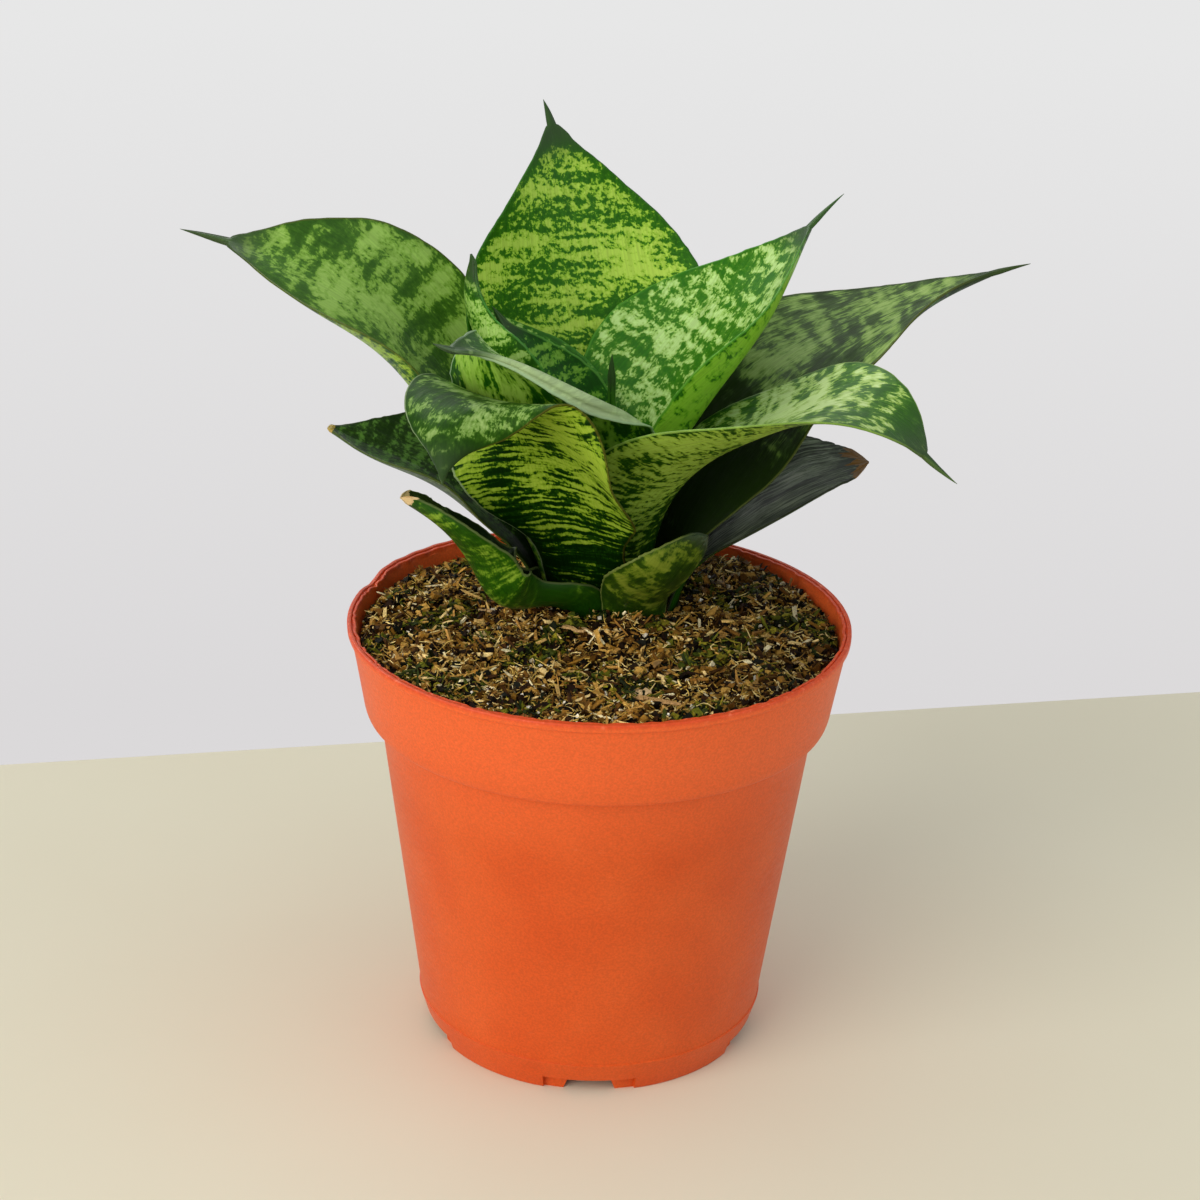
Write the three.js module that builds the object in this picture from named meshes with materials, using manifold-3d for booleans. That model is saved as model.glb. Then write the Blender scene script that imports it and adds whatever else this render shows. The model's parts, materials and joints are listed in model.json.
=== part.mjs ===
// A potted snake plant of the low, bird's nest kind: a rosette of thick leaves in a plastic nursery pot.
// Millimetres, +Z up. The origin is the middle of the pot's underside, on the surface that it stands on.
// The plant's front, where one leaf is folded over, faces -Y.
import * as THREE from 'three';
import { mergeVertices } from 'three/addons/utils/BufferGeometryUtils.js';
import Module from 'manifold-3d';

// ---- driving dimensions ----------------------------------------------------------------------------------
const degree = Math.PI / 180;
const touchGap = 0.3;              // clearance between pieces that rest on each other
const mergeDistance = 1e-4;

const pot = {
  height: 96, rimRadius: 54,       // the common 4-inch nursery pot
  wall: 1.2,
  lip: 1.7, lipWidth: 1.5,         // the rounded bead round the mouth
  bevel: 0.5,
  lean: 0.4,                       // how far the inside of a step leans out, so that it leaves its mould
  collarBottom: 76.3, collarRadius: 50.6,
  bodyTopRadius: 47.3,
  chamferTop: 7.6, chamferRadius: 38.3,
  footRadius: 36.2, footWidth: 1.3,
  discRadius: 18.5,                // flat middle of the floor, which stands on the table as the foot does
  channelHeight: 3, channelSlope: 3.5,
  sides: 60,
};
const notch = { count: 5, start: -89, width: 20, height: 3.2, innerRadius: 35.9 };
const slot = { top: 9, bottom: 12, height: 2.6, inner: 33.5, outer: 40 };
const drain = { inner: 25, outer: 31.5, width: 4 };
const tool = { below: 1, height: 4, arcSteps: 6 };            // what cuts the slots starts under the table

const peat = {
  level: 93.4, radius: 51.8, mound: 0.9, bump: 0.3, rings: 10, sides: 54, chips: 40, seed: 8300,
};
const swell = { long: [0.41, 0.37], short: [0.83, 0.71], shift: [1.3, 2.1], shortShare: 0.6 };
// soil pushed up against the front of the plant, from one direction round to another, in degrees
const bank = { from: 214, to: 322, soft: 30, height: 3.8, spread: 6.5 };
const chip = { shortest: 3, longest: 10, width: 1.7, height: 1.5, tilt: 0.15, sunk: 0.1, furthest: 45 };

const crown = {
  x: 0, y: 18, radius: 21, top: 92.5, depth: 9, sides: 36, clearance: 0.5, base: 0.8, shoulder: 0.3,
};

const blade = { thickness: 1.3, edge: 0.7, steps: 15, substeps: 4, bends: 10 };
const across = [-1, -0.9, -0.8, -0.4, 0, 0.4, 0.8, 0.9, 1];   // lines across a blade, closer near its margins
const hem = { start: 0.8, ramp: 0.1 };                        // a rolled margin, in shares of the half-width
const footShare = 0.62;            // how much of its foot a blade keeps just above it
const narrowest = 0.8;
const mostFootCup = 100;

// half-widths from a quarter of the way up to the tip, as shares of the widest place
const fullBlade = [0.66, 0.86, 0.98, 1, 0.84, 0.46, 0.07];
const slimBlade = [0.66, 0.84, 0.95, 1, 0.84, 0.46, 0.07];
const waistedBlade = [0.5, 0.78, 0.96, 1, 0.84, 0.46, 0.07];
const tornBlade = [0.68, 0.86, 0.98, 1, 0.86, 0.6, 0.3];
const cutBlade = [0.65, 1.02, 0.98, 1, 0.86, 0.6, 0.3];

// One entry a leaf, from the middle of the rosette outwards. ring is the foot's distance from the middle,
// side its direction (0 is +X, 90 is +Y) and foot its width. The other lists are in degrees and evenly spaced
// along the midrib: rise is its slope and turn its swing to the left (0 at the foot), roll is the tilt of the
// blade, and cup how far each half folds up (at the foot it follows the ring). hem rolls the left margin back.
// awn is the hard point at the tip: its length, and how far it bends up or down.
const leaves = {
  spear: {
    ring: 1.6, side: 60, length: 51.5, width: 7, foot: 4.5, outline: fullBlade,
    rise: [86, 87, 89, 92, 93], turn: [0, 0, 0], roll: [0, 0, 0], cup: [75, 80, 80, 60], awn: [5, 0],
  },
  young_inner: {
    ring: 3.6, side: 147, length: 65, width: 30, foot: 10, outline: fullBlade,
    rise: [86, 80, 69, 56, 51], turn: [0, 2, 6], roll: [0, -4, -5], cup: [70, 61, 52, 51], awn: [4, 0],
  },
  young_left: {
    ring: 5.8, side: 163, length: 80, width: 47, foot: 13, outline: waistedBlade,
    rise: [85, 77, 58, 59, 103], turn: [-7, 9, 2], roll: [0, 1, 34], cup: [62, 68, 48, 32], awn: [2, -22],
    hem: [0, 0, 16, 0, -60],
  },
  right_pale: {
    ring: 7, side: 28, length: 92, width: 67, foot: 12, outline: waistedBlade,
    rise: [83, 75, 53, 51, 54], turn: [2, 2, 1], roll: [0, -10, -14], cup: [81, 65, 39, 31], awn: [11, -16],
  },
  front_rolled: {
    ring: 9, side: 244.5, length: 86, width: 46, foot: 14, outline: [0.62, 0.87, 0.98, 1, 0.89, 0.41, 0.07],
    rise: [86, 66, 65, 56, 4], turn: [-7, -11, -32], roll: [0, 15, -13], cup: [57, 55, 10, 44], awn: [5, 22],
    hem: [0, 0, -35, -108, -110],
  },
  back_tall: {
    ring: 9.4, side: 103, length: 104.3, width: 60, foot: 18, outline: waistedBlade,
    rise: [82, 57.5, 58.5, 75, 76.5], turn: [-8, 19.5, 30.5], roll: [0, -6.5, -5], cup: [41, 43.5, 19.5, 27],
    awn: [6, -14],
  },
  right_arching: {
    ring: 11.6, side: 309, length: 99, width: 60, foot: 22, outline: fullBlade,
    rise: [93, 65, 34, 22, -51], turn: [20, 31, 26], roll: [7, -8, 5], cup: [63, 35, 19, 14], awn: [9, 18],
  },
  left_long: {
    ring: 11.6, side: 157, length: 109, width: 58, foot: 22, outline: slimBlade,
    rise: [82, 44, 53, 33, 15], turn: [2, 17, 18], roll: [0, -1, -25], cup: [48, 50, 40, 32], awn: [11, -2],
  },
  right_long: {
    ring: 13.6, side: 22, length: 107, width: 58, foot: 24, outline: fullBlade,
    rise: [84, 54, 39, 29, 26], turn: [7, -15, -23], roll: [1, 6, -11], cup: [16, 27, 9, 27], awn: [9, -9],
  },
  front_folded: {
    ring: 14.2, side: 259, length: 91, width: 50, foot: 17, outline: [0.44, 0.78, 0.96, 1, 0.84, 0.46, 0.07],
    rise: [79, 66, 66, 15, -62], turn: [-26, -45, 6], roll: [2, 14, -3], cup: [-8, -39, 14, -76],
    awn: [3, -16],
  },
  left_low: {
    ring: 14.2, side: 171, length: 61, width: 40, foot: 15, outline: fullBlade,
    rise: [86, 40, 31, 22, 27], turn: [-6, 3, 5], roll: [0, 3, -7], cup: [20, 32, 27, 21], awn: [1, 0],
  },
  back_low: {
    ring: 15.8, side: 92, length: 62, width: 42, foot: 16, outline: fullBlade,
    rise: [86, 52, 38, 28, 18], turn: [0, 0, 0], roll: [0, 0, 0], cup: [48, 40, 32, 24], awn: [4, 0],
  },
  right_low: {
    ring: 16.4, side: 12, length: 55, width: 42, foot: 24, outline: tornBlade,
    rise: [84, 43, 32, 21, 7], turn: [4, -1, -6], roll: [2, 6, 1], cup: [38, 34, 24, 7], awn: [1, 0],
  },
  front_cut: {
    ring: 18.2, side: 245, length: 55, width: 27, foot: 24, outline: cutBlade,
    rise: [86, 2, 62, 49, 34], turn: [-48, -33, -53], roll: [11, -10, 10], cup: [104, 71, 34, 53],
    awn: [1, 0],
  },
  front_torn: {
    ring: 19.8, side: 293, length: 29, width: 29.5, foot: 12, outline: tornBlade,
    rise: [86, 56, 43, 56, 42], turn: [30, 74, 106], roll: [-10, -28, -67], cup: [55, 41, 33, 9], awn: [1, 0],
  },
};

const finishes = {
  terracotta: { color: 0xd25724, roughness: 0.55, metalness: 0 },
  peat: { color: 0x4a3420, roughness: 0.95, metalness: 0 },
  stem: { color: 0xb8a878, roughness: 0.7, metalness: 0 },
  young: { color: 0x8fb860, roughness: 0.4, metalness: 0 },
  grown: { color: 0x4f8a34, roughness: 0.4, metalness: 0 },
  old: { color: 0x3b4a38, roughness: 0.4, metalness: 0 },
};
const leafFinish = {
  spear: 'young', young_inner: 'young', young_left: 'young', right_pale: 'young',
  left_low: 'old', right_low: 'old', front_cut: 'old', front_torn: 'old', back_low: 'old',
};

// ---- solids ----------------------------------------------------------------------------------------------
const wasm = await Module();
wasm.setup();

function solidOf(geometry) {
  const bare = geometry.clone();
  bare.deleteAttribute('normal');
  bare.deleteAttribute('uv');
  const merged = mergeVertices(bare.index ? bare.toNonIndexed() : bare, mergeDistance);
  const vertProperties = new Float32Array(merged.attributes.position.array);
  const triVerts = new Uint32Array(merged.index.array);
  return new wasm.Manifold(new wasm.Mesh({ numProp: 3, vertProperties, triVerts }));
}

function geometryOf(solid) {
  const mesh = solid.getMesh();
  const geometry = new THREE.BufferGeometry();
  geometry.setAttribute('position', new THREE.BufferAttribute(new Float32Array(mesh.vertProperties), 3));
  geometry.setIndex(new THREE.BufferAttribute(new Uint32Array(mesh.triVerts), 1));
  return geometry;
}

// LatheGeometry turns about Y, so it is laid over to turn about Z
function turned(profile, sides) {
  const geometry = new THREE.LatheGeometry(profile.map(([r, z]) => new THREE.Vector2(r, z)), sides);
  return geometry.rotateX(90 * degree);
}

function placed(geometry, angle, x, y, z) {
  const spin = new THREE.Matrix4().makeRotationZ(angle);
  return geometry.translate(x, y, z).applyMatrix4(spin);
}

// the same numbers from 0 to 1 each run: a multiplier and a prime modulus
function seededRandom(seed) {
  const factor = 16807;
  const modulus = 2147483647;
  let state = seed;
  return () => {
    state = (state * factor) % modulus;
    return state / modulus;
  };
}

// ---- pot -------------------------------------------------------------------------------------------------
function potInside(gap) {
  const { wall, lean, footRadius, footWidth, discRadius, channelHeight, channelSlope } = pot;
  return [
    [0, wall + gap],
    [discRadius + lean - gap, wall + gap],
    [discRadius + channelSlope + lean - gap, channelHeight + wall + gap],
    [footRadius - footWidth + lean - gap, channelHeight + wall + gap],
    [pot.chamferRadius - wall - gap, pot.chamferTop + lean / 2],
    [pot.bodyTopRadius - wall - gap, pot.collarBottom + wall],
    [pot.collarRadius - wall - gap, pot.collarBottom + wall + lean],
  ];
}

function makePot() {
  const { height, rimRadius, lip, bevel, lean } = pot;
  const { footRadius, footWidth, discRadius, channelHeight, channelSlope } = pot;
  const mouth = rimRadius - pot.lipWidth;
  const profile = [
    ...potInside(0),
    [mouth - lean, height - lip],
    [mouth, height - bevel],
    [mouth + bevel, height],
    [rimRadius - bevel, height],
    [rimRadius, height - bevel],
    [rimRadius, height - lip + bevel],
    [rimRadius - bevel, height - lip],
    [pot.collarRadius, pot.collarBottom + bevel],
    [pot.collarRadius - bevel, pot.collarBottom],
    [pot.bodyTopRadius, pot.collarBottom - bevel],
    [pot.chamferRadius, pot.chamferTop],
    [footRadius, 0],
    [footRadius - footWidth, 0],
    [footRadius - footWidth - lean, channelHeight],
    [discRadius + channelSlope, channelHeight],
    [discRadius, 0],
    [0, 0],
  ].reverse();
  let body = solidOf(turned(profile, pot.sides));
  for (let i = 0; i < notch.count; i++) {
    const angle = (notch.start + (i * 360) / notch.count) * degree;
    body = body.subtract(solidOf(placed(notchTool(), angle, 0, 0, -tool.below)));
    body = body.subtract(solidOf(placed(slotTool(), angle, 0, 0, 0)));
    const length = drain.outer - drain.inner;
    const hole = new THREE.BoxGeometry(length, drain.width, tool.height);
    const middle = drain.inner + length / 2;
    body = body.subtract(solidOf(placed(hole, angle, middle, 0, channelHeight + pot.wall / 2)));
  }
  return geometryOf(body);
}

// the shallow recess round each drain slot, a curved bar outside the foot
function notchTool() {
  const half = notch.width / 2 / pot.footRadius;
  const shape = new THREE.Shape();
  shape.absarc(0, 0, notch.innerRadius, -half, half, false);
  shape.absarc(0, 0, slot.outer, half, -half, true);
  shape.closePath();
  const depth = notch.height + tool.below;
  return new THREE.ExtrudeGeometry(shape, { depth, bevelEnabled: false, curveSegments: tool.arcSteps });
}

// the slot through the foot, wider at the table
function slotTool() {
  const { top, bottom, height, inner, outer } = slot;
  const flare = (bottom - top) / 2 / height * tool.below;
  const shape = new THREE.Shape();
  shape.moveTo(-bottom / 2 - flare, -tool.below);
  shape.lineTo(bottom / 2 + flare, -tool.below);
  shape.lineTo(top / 2, height);
  shape.lineTo(-top / 2, height);
  shape.closePath();
  const bar = new THREE.ExtrudeGeometry(shape, { depth: outer - inner, bevelEnabled: false });
  return bar.rotateX(90 * degree).rotateZ(90 * degree).translate(inner, 0, 0);
}

// ---- soil and crown --------------------------------------------------------------------------------------
function crownHole() {
  const bottom = crown.top - crown.depth - touchGap;
  return { radius: crown.radius + crown.clearance, bottom, top: pot.height + crown.depth };
}

function smoothStep(value) {
  const t = Math.min(Math.max(value, 0), 1);
  return t * t * (3 - 2 * t);
}

function peatHeight(x, y) {
  const fromCrown = Math.hypot(x - crown.x, y - crown.y);
  const mound = peat.mound * Math.max(0, 1 - fromCrown / pot.rimRadius);
  const { long, short, shift, shortShare } = swell;
  const lumps = Math.sin(x * long[0] + shift[0]) * Math.cos(y * long[1])
    + Math.sin(x * short[0] - y * short[1] + shift[1]) * shortShare;
  const side = (Math.atan2(y - crown.y, x - crown.x) / degree + 360) % 360;
  const along = smoothStep((side - bank.from) / bank.soft) * smoothStep((bank.to - side) / bank.soft);
  const banked = bank.height * along * Math.exp(-(((fromCrown - crownHole().radius) / bank.spread) ** 2));
  return peat.level + mound + banked + peat.bump * lumps;
}

function makeSoil(random) {
  const profile = potInside(touchGap);
  for (let i = 0; i <= peat.rings; i++) profile.push([peat.radius * (1 - i / peat.rings), peat.level]);
  const geometry = turned(profile, peat.sides);
  const spots = geometry.attributes.position;
  for (let i = 0; i < spots.count; i++) {
    const x = spots.getX(i);
    const y = spots.getY(i);
    if (spots.getZ(i) > peat.level - touchGap) spots.setZ(i, peatHeight(x, y));
  }
  const hole = crownHole();
  const outline = [[0, hole.bottom], [hole.radius, hole.bottom], [hole.radius, hole.top], [0, hole.top]];
  const plug = turned(outline, crown.sides);
  const pit = solidOf(plug.translate(crown.x, crown.y, 0));
  let body = solidOf(geometry).subtract(pit);
  let laid = 0;
  while (laid < peat.chips) {
    const distance = chip.furthest * Math.sqrt(random());
    const angle = random() * 2 * Math.PI;
    const length = chip.shortest + (chip.longest - chip.shortest) * random() ** 2;
    const turn = random() * Math.PI;
    const tilt = (random() - 0.5) * chip.tilt;
    const x = distance * Math.cos(angle);
    const y = distance * Math.sin(angle);
    if (Math.hypot(x - crown.x, y - crown.y) < hole.radius + length / 2 + chip.width) continue;
    const piece = new THREE.BoxGeometry(length, chip.width, chip.height);
    piece.rotateY(tilt).rotateZ(turn).translate(x, y, peatHeight(x, y) - chip.sunk);
    body = body.add(solidOf(piece));
    laid += 1;
  }
  return geometryOf(body);
}

function makeCrown() {
  const { radius, top, depth } = crown;
  const bottom = top - depth;
  const profile = [
    [0, bottom], [radius * crown.base, bottom], [radius, bottom + depth * crown.shoulder], [radius, top], [0, top]];
  return turned(profile, crown.sides).translate(crown.x, crown.y, 0);
}

// ---- leaves ----------------------------------------------------------------------------------------------
// a smooth curve through evenly spaced keys, read at s from 0 to 1
function along(keys, s) {
  const x = Math.min(Math.max(s, 0), 1) * (keys.length - 1);
  const i = Math.min(Math.floor(x), keys.length - 2);
  const t = x - i;
  const a = keys[Math.max(i - 1, 0)];
  const b = keys[i];
  const c = keys[i + 1];
  const d = keys[Math.min(i + 2, keys.length - 1)];
  return 0.5 * (2 * b + (c - a) * t + (2 * a - 5 * b + 4 * c - d) * t * t + (3 * b - a - 3 * c + d) * t ** 3);
}

// the blade's own directions at s: along the midrib, to its left, and up out of its inner face
function frameAt(leaf, s) {
  const rise = along(leaf.rise, s) * degree;
  const heading = (leaf.side + along([0, ...leaf.turn], s)) * degree;
  const roll = along(leaf.roll, s) * degree;
  const forward = new THREE.Vector3(
    Math.cos(rise) * Math.cos(heading), Math.cos(rise) * Math.sin(heading), Math.sin(rise));
  const level = new THREE.Vector3(-Math.sin(heading), Math.cos(heading), 0);
  const upright = new THREE.Vector3().crossVectors(forward, level);
  const left = level.clone().multiplyScalar(Math.cos(roll)).addScaledVector(upright, Math.sin(roll));
  const up = upright.clone().multiplyScalar(Math.cos(roll)).addScaledVector(level, -Math.sin(roll));
  return { forward, left, up };
}

function halfWidthAt(leaf, s) {
  const foot = leaf.foot / leaf.width;
  const keys = [foot, footShare * foot + (1 - footShare) * leaf.outline[0], ...leaf.outline];
  return Math.max(leaf.width / 2 * along(keys, s), narrowest);
}

// how far out and up the section has come, u of the half-width from the midrib
function sectionAt(leaf, s, u) {
  const cup = along([Math.min(leaf.foot / 2 / leaf.ring / degree, mostFootCup), ...leaf.cup], s) * degree;
  const rolled = leaf.hem && u > 0 ? along(leaf.hem, s) * degree : 0;
  let out = 0;
  let up = 0;
  for (let k = 0; k < blade.bends; k++) {
    const t = (k + 0.5) / blade.bends * Math.abs(u);
    const angle = cup * t + rolled * Math.min(Math.max((t - hem.start) / hem.ramp, 0), 1);
    out += Math.cos(angle) / blade.bends;
    up += Math.sin(angle) / blade.bends;
  }
  return [out * u, up * Math.abs(u)];
}

// the middle surface of a blade, as rows of points from foot to tip
function bladeRows(leaf) {
  const seat = crown.top + touchGap;
  const midrib = new THREE.Vector3(
    crown.x + leaf.ring * Math.cos(leaf.side * degree), crown.y + leaf.ring * Math.sin(leaf.side * degree), seat);
  const fine = blade.steps * blade.substeps;
  const rows = [];
  let before = frameAt(leaf, 0);
  for (let i = 0; i <= fine; i++) {
    const frame = frameAt(leaf, i / fine);
    if (i > 0) {
      midrib.addScaledVector(before.forward, leaf.length / fine / 2);
      midrib.addScaledVector(frame.forward, leaf.length / fine / 2);
    }
    before = frame;
    if (i % blade.substeps) continue;
    const half = halfWidthAt(leaf, i / fine);
    rows.push(across.map((u) => {
      const [out, up] = sectionAt(leaf, i / fine, u);
      const point = midrib.clone().addScaledVector(frame.left, out * half).addScaledVector(frame.up, up * half);
      if (i === 0) point.z = seat;             // the foot is level, on the crown
      return point;
    }));
  }
  const [length, lift] = leaf.awn;
  const last = { ...leaf, rise: leaf.rise.map((angle) => angle + lift) };
  return { rows, point: midrib.clone().addScaledVector(frameAt(last, 1).forward, length) };
}

function normalAt(rows, i, j) {
  const up = rows[Math.min(i + 1, rows.length - 1)][j].clone().sub(rows[Math.max(i - 1, 0)][j]);
  const last = across.length - 1;
  const left = rows[i][Math.min(j + 1, last)].clone().sub(rows[i][Math.max(j - 1, 0)]);
  return up.cross(left).normalize();
}

function makeLeaf(leaf) {
  const { rows, point } = bladeRows(leaf);
  const last = across.length - 1;
  const spots = [];
  rows.forEach((row, i) => {
    for (const face of [0.5, -0.5]) {
      row.forEach((middle, j) => {
        const thick = blade.edge + (blade.thickness - blade.edge) * (1 - Math.abs(across[j]) ** 3);
        const normal = normalAt(rows, i, j);
        if (i === 0) normal.setZ(0).normalize();
        const spot = middle.clone().addScaledVector(normal, thick * face);
        spots.push(spot.x, spot.y, spot.z);
      });
    }
  });
  spots.push(point.x, point.y, point.z);
  const inner = (i, j) => i * 2 * across.length + j;
  const outer = (i, j) => inner(i, j) + across.length;
  const tip = rows.length * 2 * across.length;
  const faces = [];
  const four = (a, b, c, d) => faces.push(a, b, c, a, c, d);
  for (let i = 0; i < rows.length - 1; i++) {
    for (let j = 0; j < last; j++) {
      four(inner(i, j), inner(i + 1, j), inner(i + 1, j + 1), inner(i, j + 1));
      faces.push(outer(i, j), outer(i + 1, j + 1), outer(i + 1, j));
      faces.push(outer(i, j), outer(i, j + 1), outer(i + 1, j + 1));
    }
    four(inner(i, 0), outer(i, 0), outer(i + 1, 0), inner(i + 1, 0));
    four(inner(i, last), inner(i + 1, last), outer(i + 1, last), outer(i, last));
  }
  const end = rows.length - 1;
  for (let j = 0; j < last; j++) {
    four(inner(0, j), inner(0, j + 1), outer(0, j + 1), outer(0, j));
    faces.push(inner(end, j), tip, inner(end, j + 1));
    faces.push(outer(end, j), outer(end, j + 1), tip);
  }
  faces.push(inner(end, 0), outer(end, 0), tip);
  faces.push(inner(end, last), tip, outer(end, last));
  const geometry = new THREE.BufferGeometry();
  geometry.setAttribute('position', new THREE.Float32BufferAttribute(spots, 3));
  geometry.setIndex(faces);
  return geometry;
}

// ---- the plant -------------------------------------------------------------------------------------------
const plant = new THREE.Group();

function addPiece(name, geometry, finish) {
  const mesh = new THREE.Mesh(geometry, new THREE.MeshStandardMaterial(finishes[finish]));
  mesh.name = name;
  plant.add(mesh);
}

addPiece('pot', makePot(), 'terracotta');
addPiece('soil', makeSoil(seededRandom(peat.seed)), 'peat');
addPiece('crown', makeCrown(), 'stem');
for (const [name, leaf] of Object.entries(leaves)) {
  addPiece(`leaf_${name}`, makeLeaf(leaf), leafFinish[name] ?? 'grown');
}

export default plant;
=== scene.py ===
import json
import math

import bpy
import numpy as np
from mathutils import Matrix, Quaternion, Vector, kdtree

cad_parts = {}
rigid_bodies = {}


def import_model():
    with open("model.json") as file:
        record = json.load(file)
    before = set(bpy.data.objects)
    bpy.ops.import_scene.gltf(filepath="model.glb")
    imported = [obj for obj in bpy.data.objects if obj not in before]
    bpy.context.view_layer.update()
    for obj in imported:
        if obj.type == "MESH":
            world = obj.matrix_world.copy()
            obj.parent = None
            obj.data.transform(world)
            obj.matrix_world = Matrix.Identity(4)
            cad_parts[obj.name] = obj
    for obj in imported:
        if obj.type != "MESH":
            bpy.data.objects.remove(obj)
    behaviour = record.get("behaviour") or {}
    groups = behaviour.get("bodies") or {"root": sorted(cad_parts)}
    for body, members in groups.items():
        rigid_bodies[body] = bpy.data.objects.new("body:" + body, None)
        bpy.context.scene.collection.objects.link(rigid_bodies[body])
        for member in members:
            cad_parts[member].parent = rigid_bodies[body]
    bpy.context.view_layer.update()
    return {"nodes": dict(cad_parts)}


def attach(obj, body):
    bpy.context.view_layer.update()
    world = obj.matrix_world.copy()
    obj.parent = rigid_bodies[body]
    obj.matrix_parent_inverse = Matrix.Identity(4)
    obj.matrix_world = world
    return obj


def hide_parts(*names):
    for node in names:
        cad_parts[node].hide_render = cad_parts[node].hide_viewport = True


# Potted bird's nest snake plant. Lengths are in millimetres and turned to metres with mm.
# +Z is up and the plant's front, with the folded leaf, faces -Y.
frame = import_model()
scene = bpy.context.scene
mm = 0.001

# camera: an 85 mm lens a little above the plant, tipped as the photographer held it
view = {"lens": 85, "sensor": 36, "distance": 608, "target": (-0.07, 0, 100.2),
        "elevation": 23.02, "roll": 1.68}


def addCamera():
    data = bpy.data.cameras.new("camera")
    data.lens = view["lens"]
    data.sensor_width = view["sensor"]
    eye = bpy.data.objects.new("camera", data)
    scene.collection.objects.link(eye)
    rise = math.radians(view["elevation"])
    back = Vector((0, -math.cos(rise), math.sin(rise)))
    eye.location = (Vector(view["target"]) + back * view["distance"]) * mm
    eye.rotation_mode = "QUATERNION"
    rolled = Quaternion((0, 0, 1), math.radians(view["roll"]))
    eye.rotation_quaternion = back.to_track_quat("Z", "Y") @ rolled
    scene.camera = eye


addCamera()
print("camera placed")


# helpers for meshes and materials

def linearColour(hexText):
    parts = [int(hexText[i:i + 2], 16) / 255 for i in (1, 3, 5)]
    return tuple(p / 12.92 if p <= 0.04045 else ((p + 0.055) / 1.055) ** 2.4 for p in parts) + (1.0,)


def linkInto(tree, node, links):
    # a source is a socket, or a node, which stands for the first of its outputs in use
    for name, source in links.items():
        if not isinstance(source, bpy.types.NodeSocket):
            source = next(socket for socket in source.outputs if socket.enabled)
        tree.links.new(source, node.inputs[name])


def addNode(tree, kind, settings=None, links=None):
    # sockets that share a name go by number: a Mix has its share at 0 and its colours at 6 and 7,
    # and a MapRange has the limits that it maps from at 1 and 2, and to at 3 and 4
    node = tree.nodes.new("ShaderNode" + kind)
    for name, value in (settings or {}).items():
        if isinstance(name, str) and hasattr(node, name):
            setattr(node, name, value)
        else:
            node.inputs[name].default_value = value
    linkInto(tree, node, links or {})
    return node


colourMix = {"data_type": "RGBA"}
colourProduct = {"data_type": "RGBA", "blend_type": "MULTIPLY", 0: 1.0}
smoothStep = {"interpolation_type": "SMOOTHSTEP"}


def placeInMm(tree):
    where = addNode(tree, "NewGeometry").outputs["Position"]
    return addNode(tree, "VectorMath", {"operation": "SCALE", "Scale": 1000}, {0: where})


def newMaterial(name, settings):
    material = bpy.data.materials.new(name)
    material.use_nodes = True
    tree = material.node_tree
    shader = tree.nodes["Principled BSDF"]
    for socket, value in settings.items():
        shader.inputs[socket].default_value = value
    return material, tree, shader


def paintRamp(node, stops):
    ramp = node.color_ramp
    while len(ramp.elements) < len(stops):
        ramp.elements.new(0.5)
    for element, (place, colour) in zip(ramp.elements, stops):
        element.position = place
        element.color = linearColour(colour) if isinstance(colour, str) else (colour, colour, colour, 1)


def meshPiece(name, points, faces, materials, slot=None, replaced=None, values=None, smooth=True):
    mesh = bpy.data.meshes.new(name)
    mesh.from_pydata((np.asarray(points) * mm).tolist(), [], faces)
    for key, rows in (values or {}).items():
        rows = np.asarray(rows, np.float32)
        kind = "FLOAT_COLOR" if rows.shape[1] == 4 else "FLOAT_VECTOR"
        layer = mesh.attributes.new(key, kind, "POINT")
        layer.data.foreach_set("color" if kind == "FLOAT_COLOR" else "vector", rows.ravel())
    for material in materials:
        mesh.materials.append(material)
    mesh.update()
    if smooth:
        mesh.shade_smooth()
    piece = bpy.data.objects.new(name, mesh)
    scene.collection.objects.link(piece)
    if slot:
        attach(piece, "root")
    if replaced:
        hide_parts(replaced)
    return piece


def outwardFaces(points, faces):
    # the same faces, turned to face outwards: the signed volume they enclose must be positive
    points = np.asarray(points)
    volume = 0.0
    for size in {len(face) for face in faces}:
        corners = points[np.array([face for face in faces if len(face) == size])]
        for k in range(1, size - 1):
            volume += np.einsum("ij,ij->", corners[:, 0], np.cross(corners[:, k], corners[:, k + 1]))
    return faces if volume > 0 else [tuple(reversed(face)) for face in faces]


def ringWalls(rings, sides):
    # quads that join each ring of points to the next
    k = np.arange(sides)
    n = (k + 1) % sides
    faces = []
    for low in range(0, (rings - 1) * sides, sides):
        high = low + sides
        faces += np.stack([low + k, low + n, high + n, high + k], 1).tolist()
    return faces


# leaves: the same curves as the solids, on a finer grid, with thin rounded margins, points and torn ends
blade = {
    "thickness": 1.25, "edge": 0.42, "rows": 104, "columns": 45, "crowding": 0.12, "endRows": 26,
    "endShare": 0.07, "ribSteps": 240, "acrossSteps": 10, "narrowest": 0.8, "footShare": 0.62,
    "mostCup": 100, "creaseRamp": 0.25, "hemStart": 0.8, "hemRamp": 0.1, "close": 2.6}
# the hard point at the tip: a leaf whose point is longer than "long" closes to it in a round end
point = {"long": 2, "rows": 12, "width": 1.05, "share": 0.12, "bend": 0.25, "short": 0.1, "taper": 0.9,
         "deep": 1.4, "least": 0.1, "flat": 0.4}
margin = {"ragged": 0.1, "waves": 80, "bites": 50, "tornFrom": 0.5, "tornRamp": 0.2, "fade": (1, 0.6, 0.25)}
tornEnd = {"coarse": 13, "fine": 35, "fineShare": 0.45, "from": 0.7, "ramp": 0.3}
crown = {"x": 0, "y": 18, "seat": 92.8}

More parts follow.
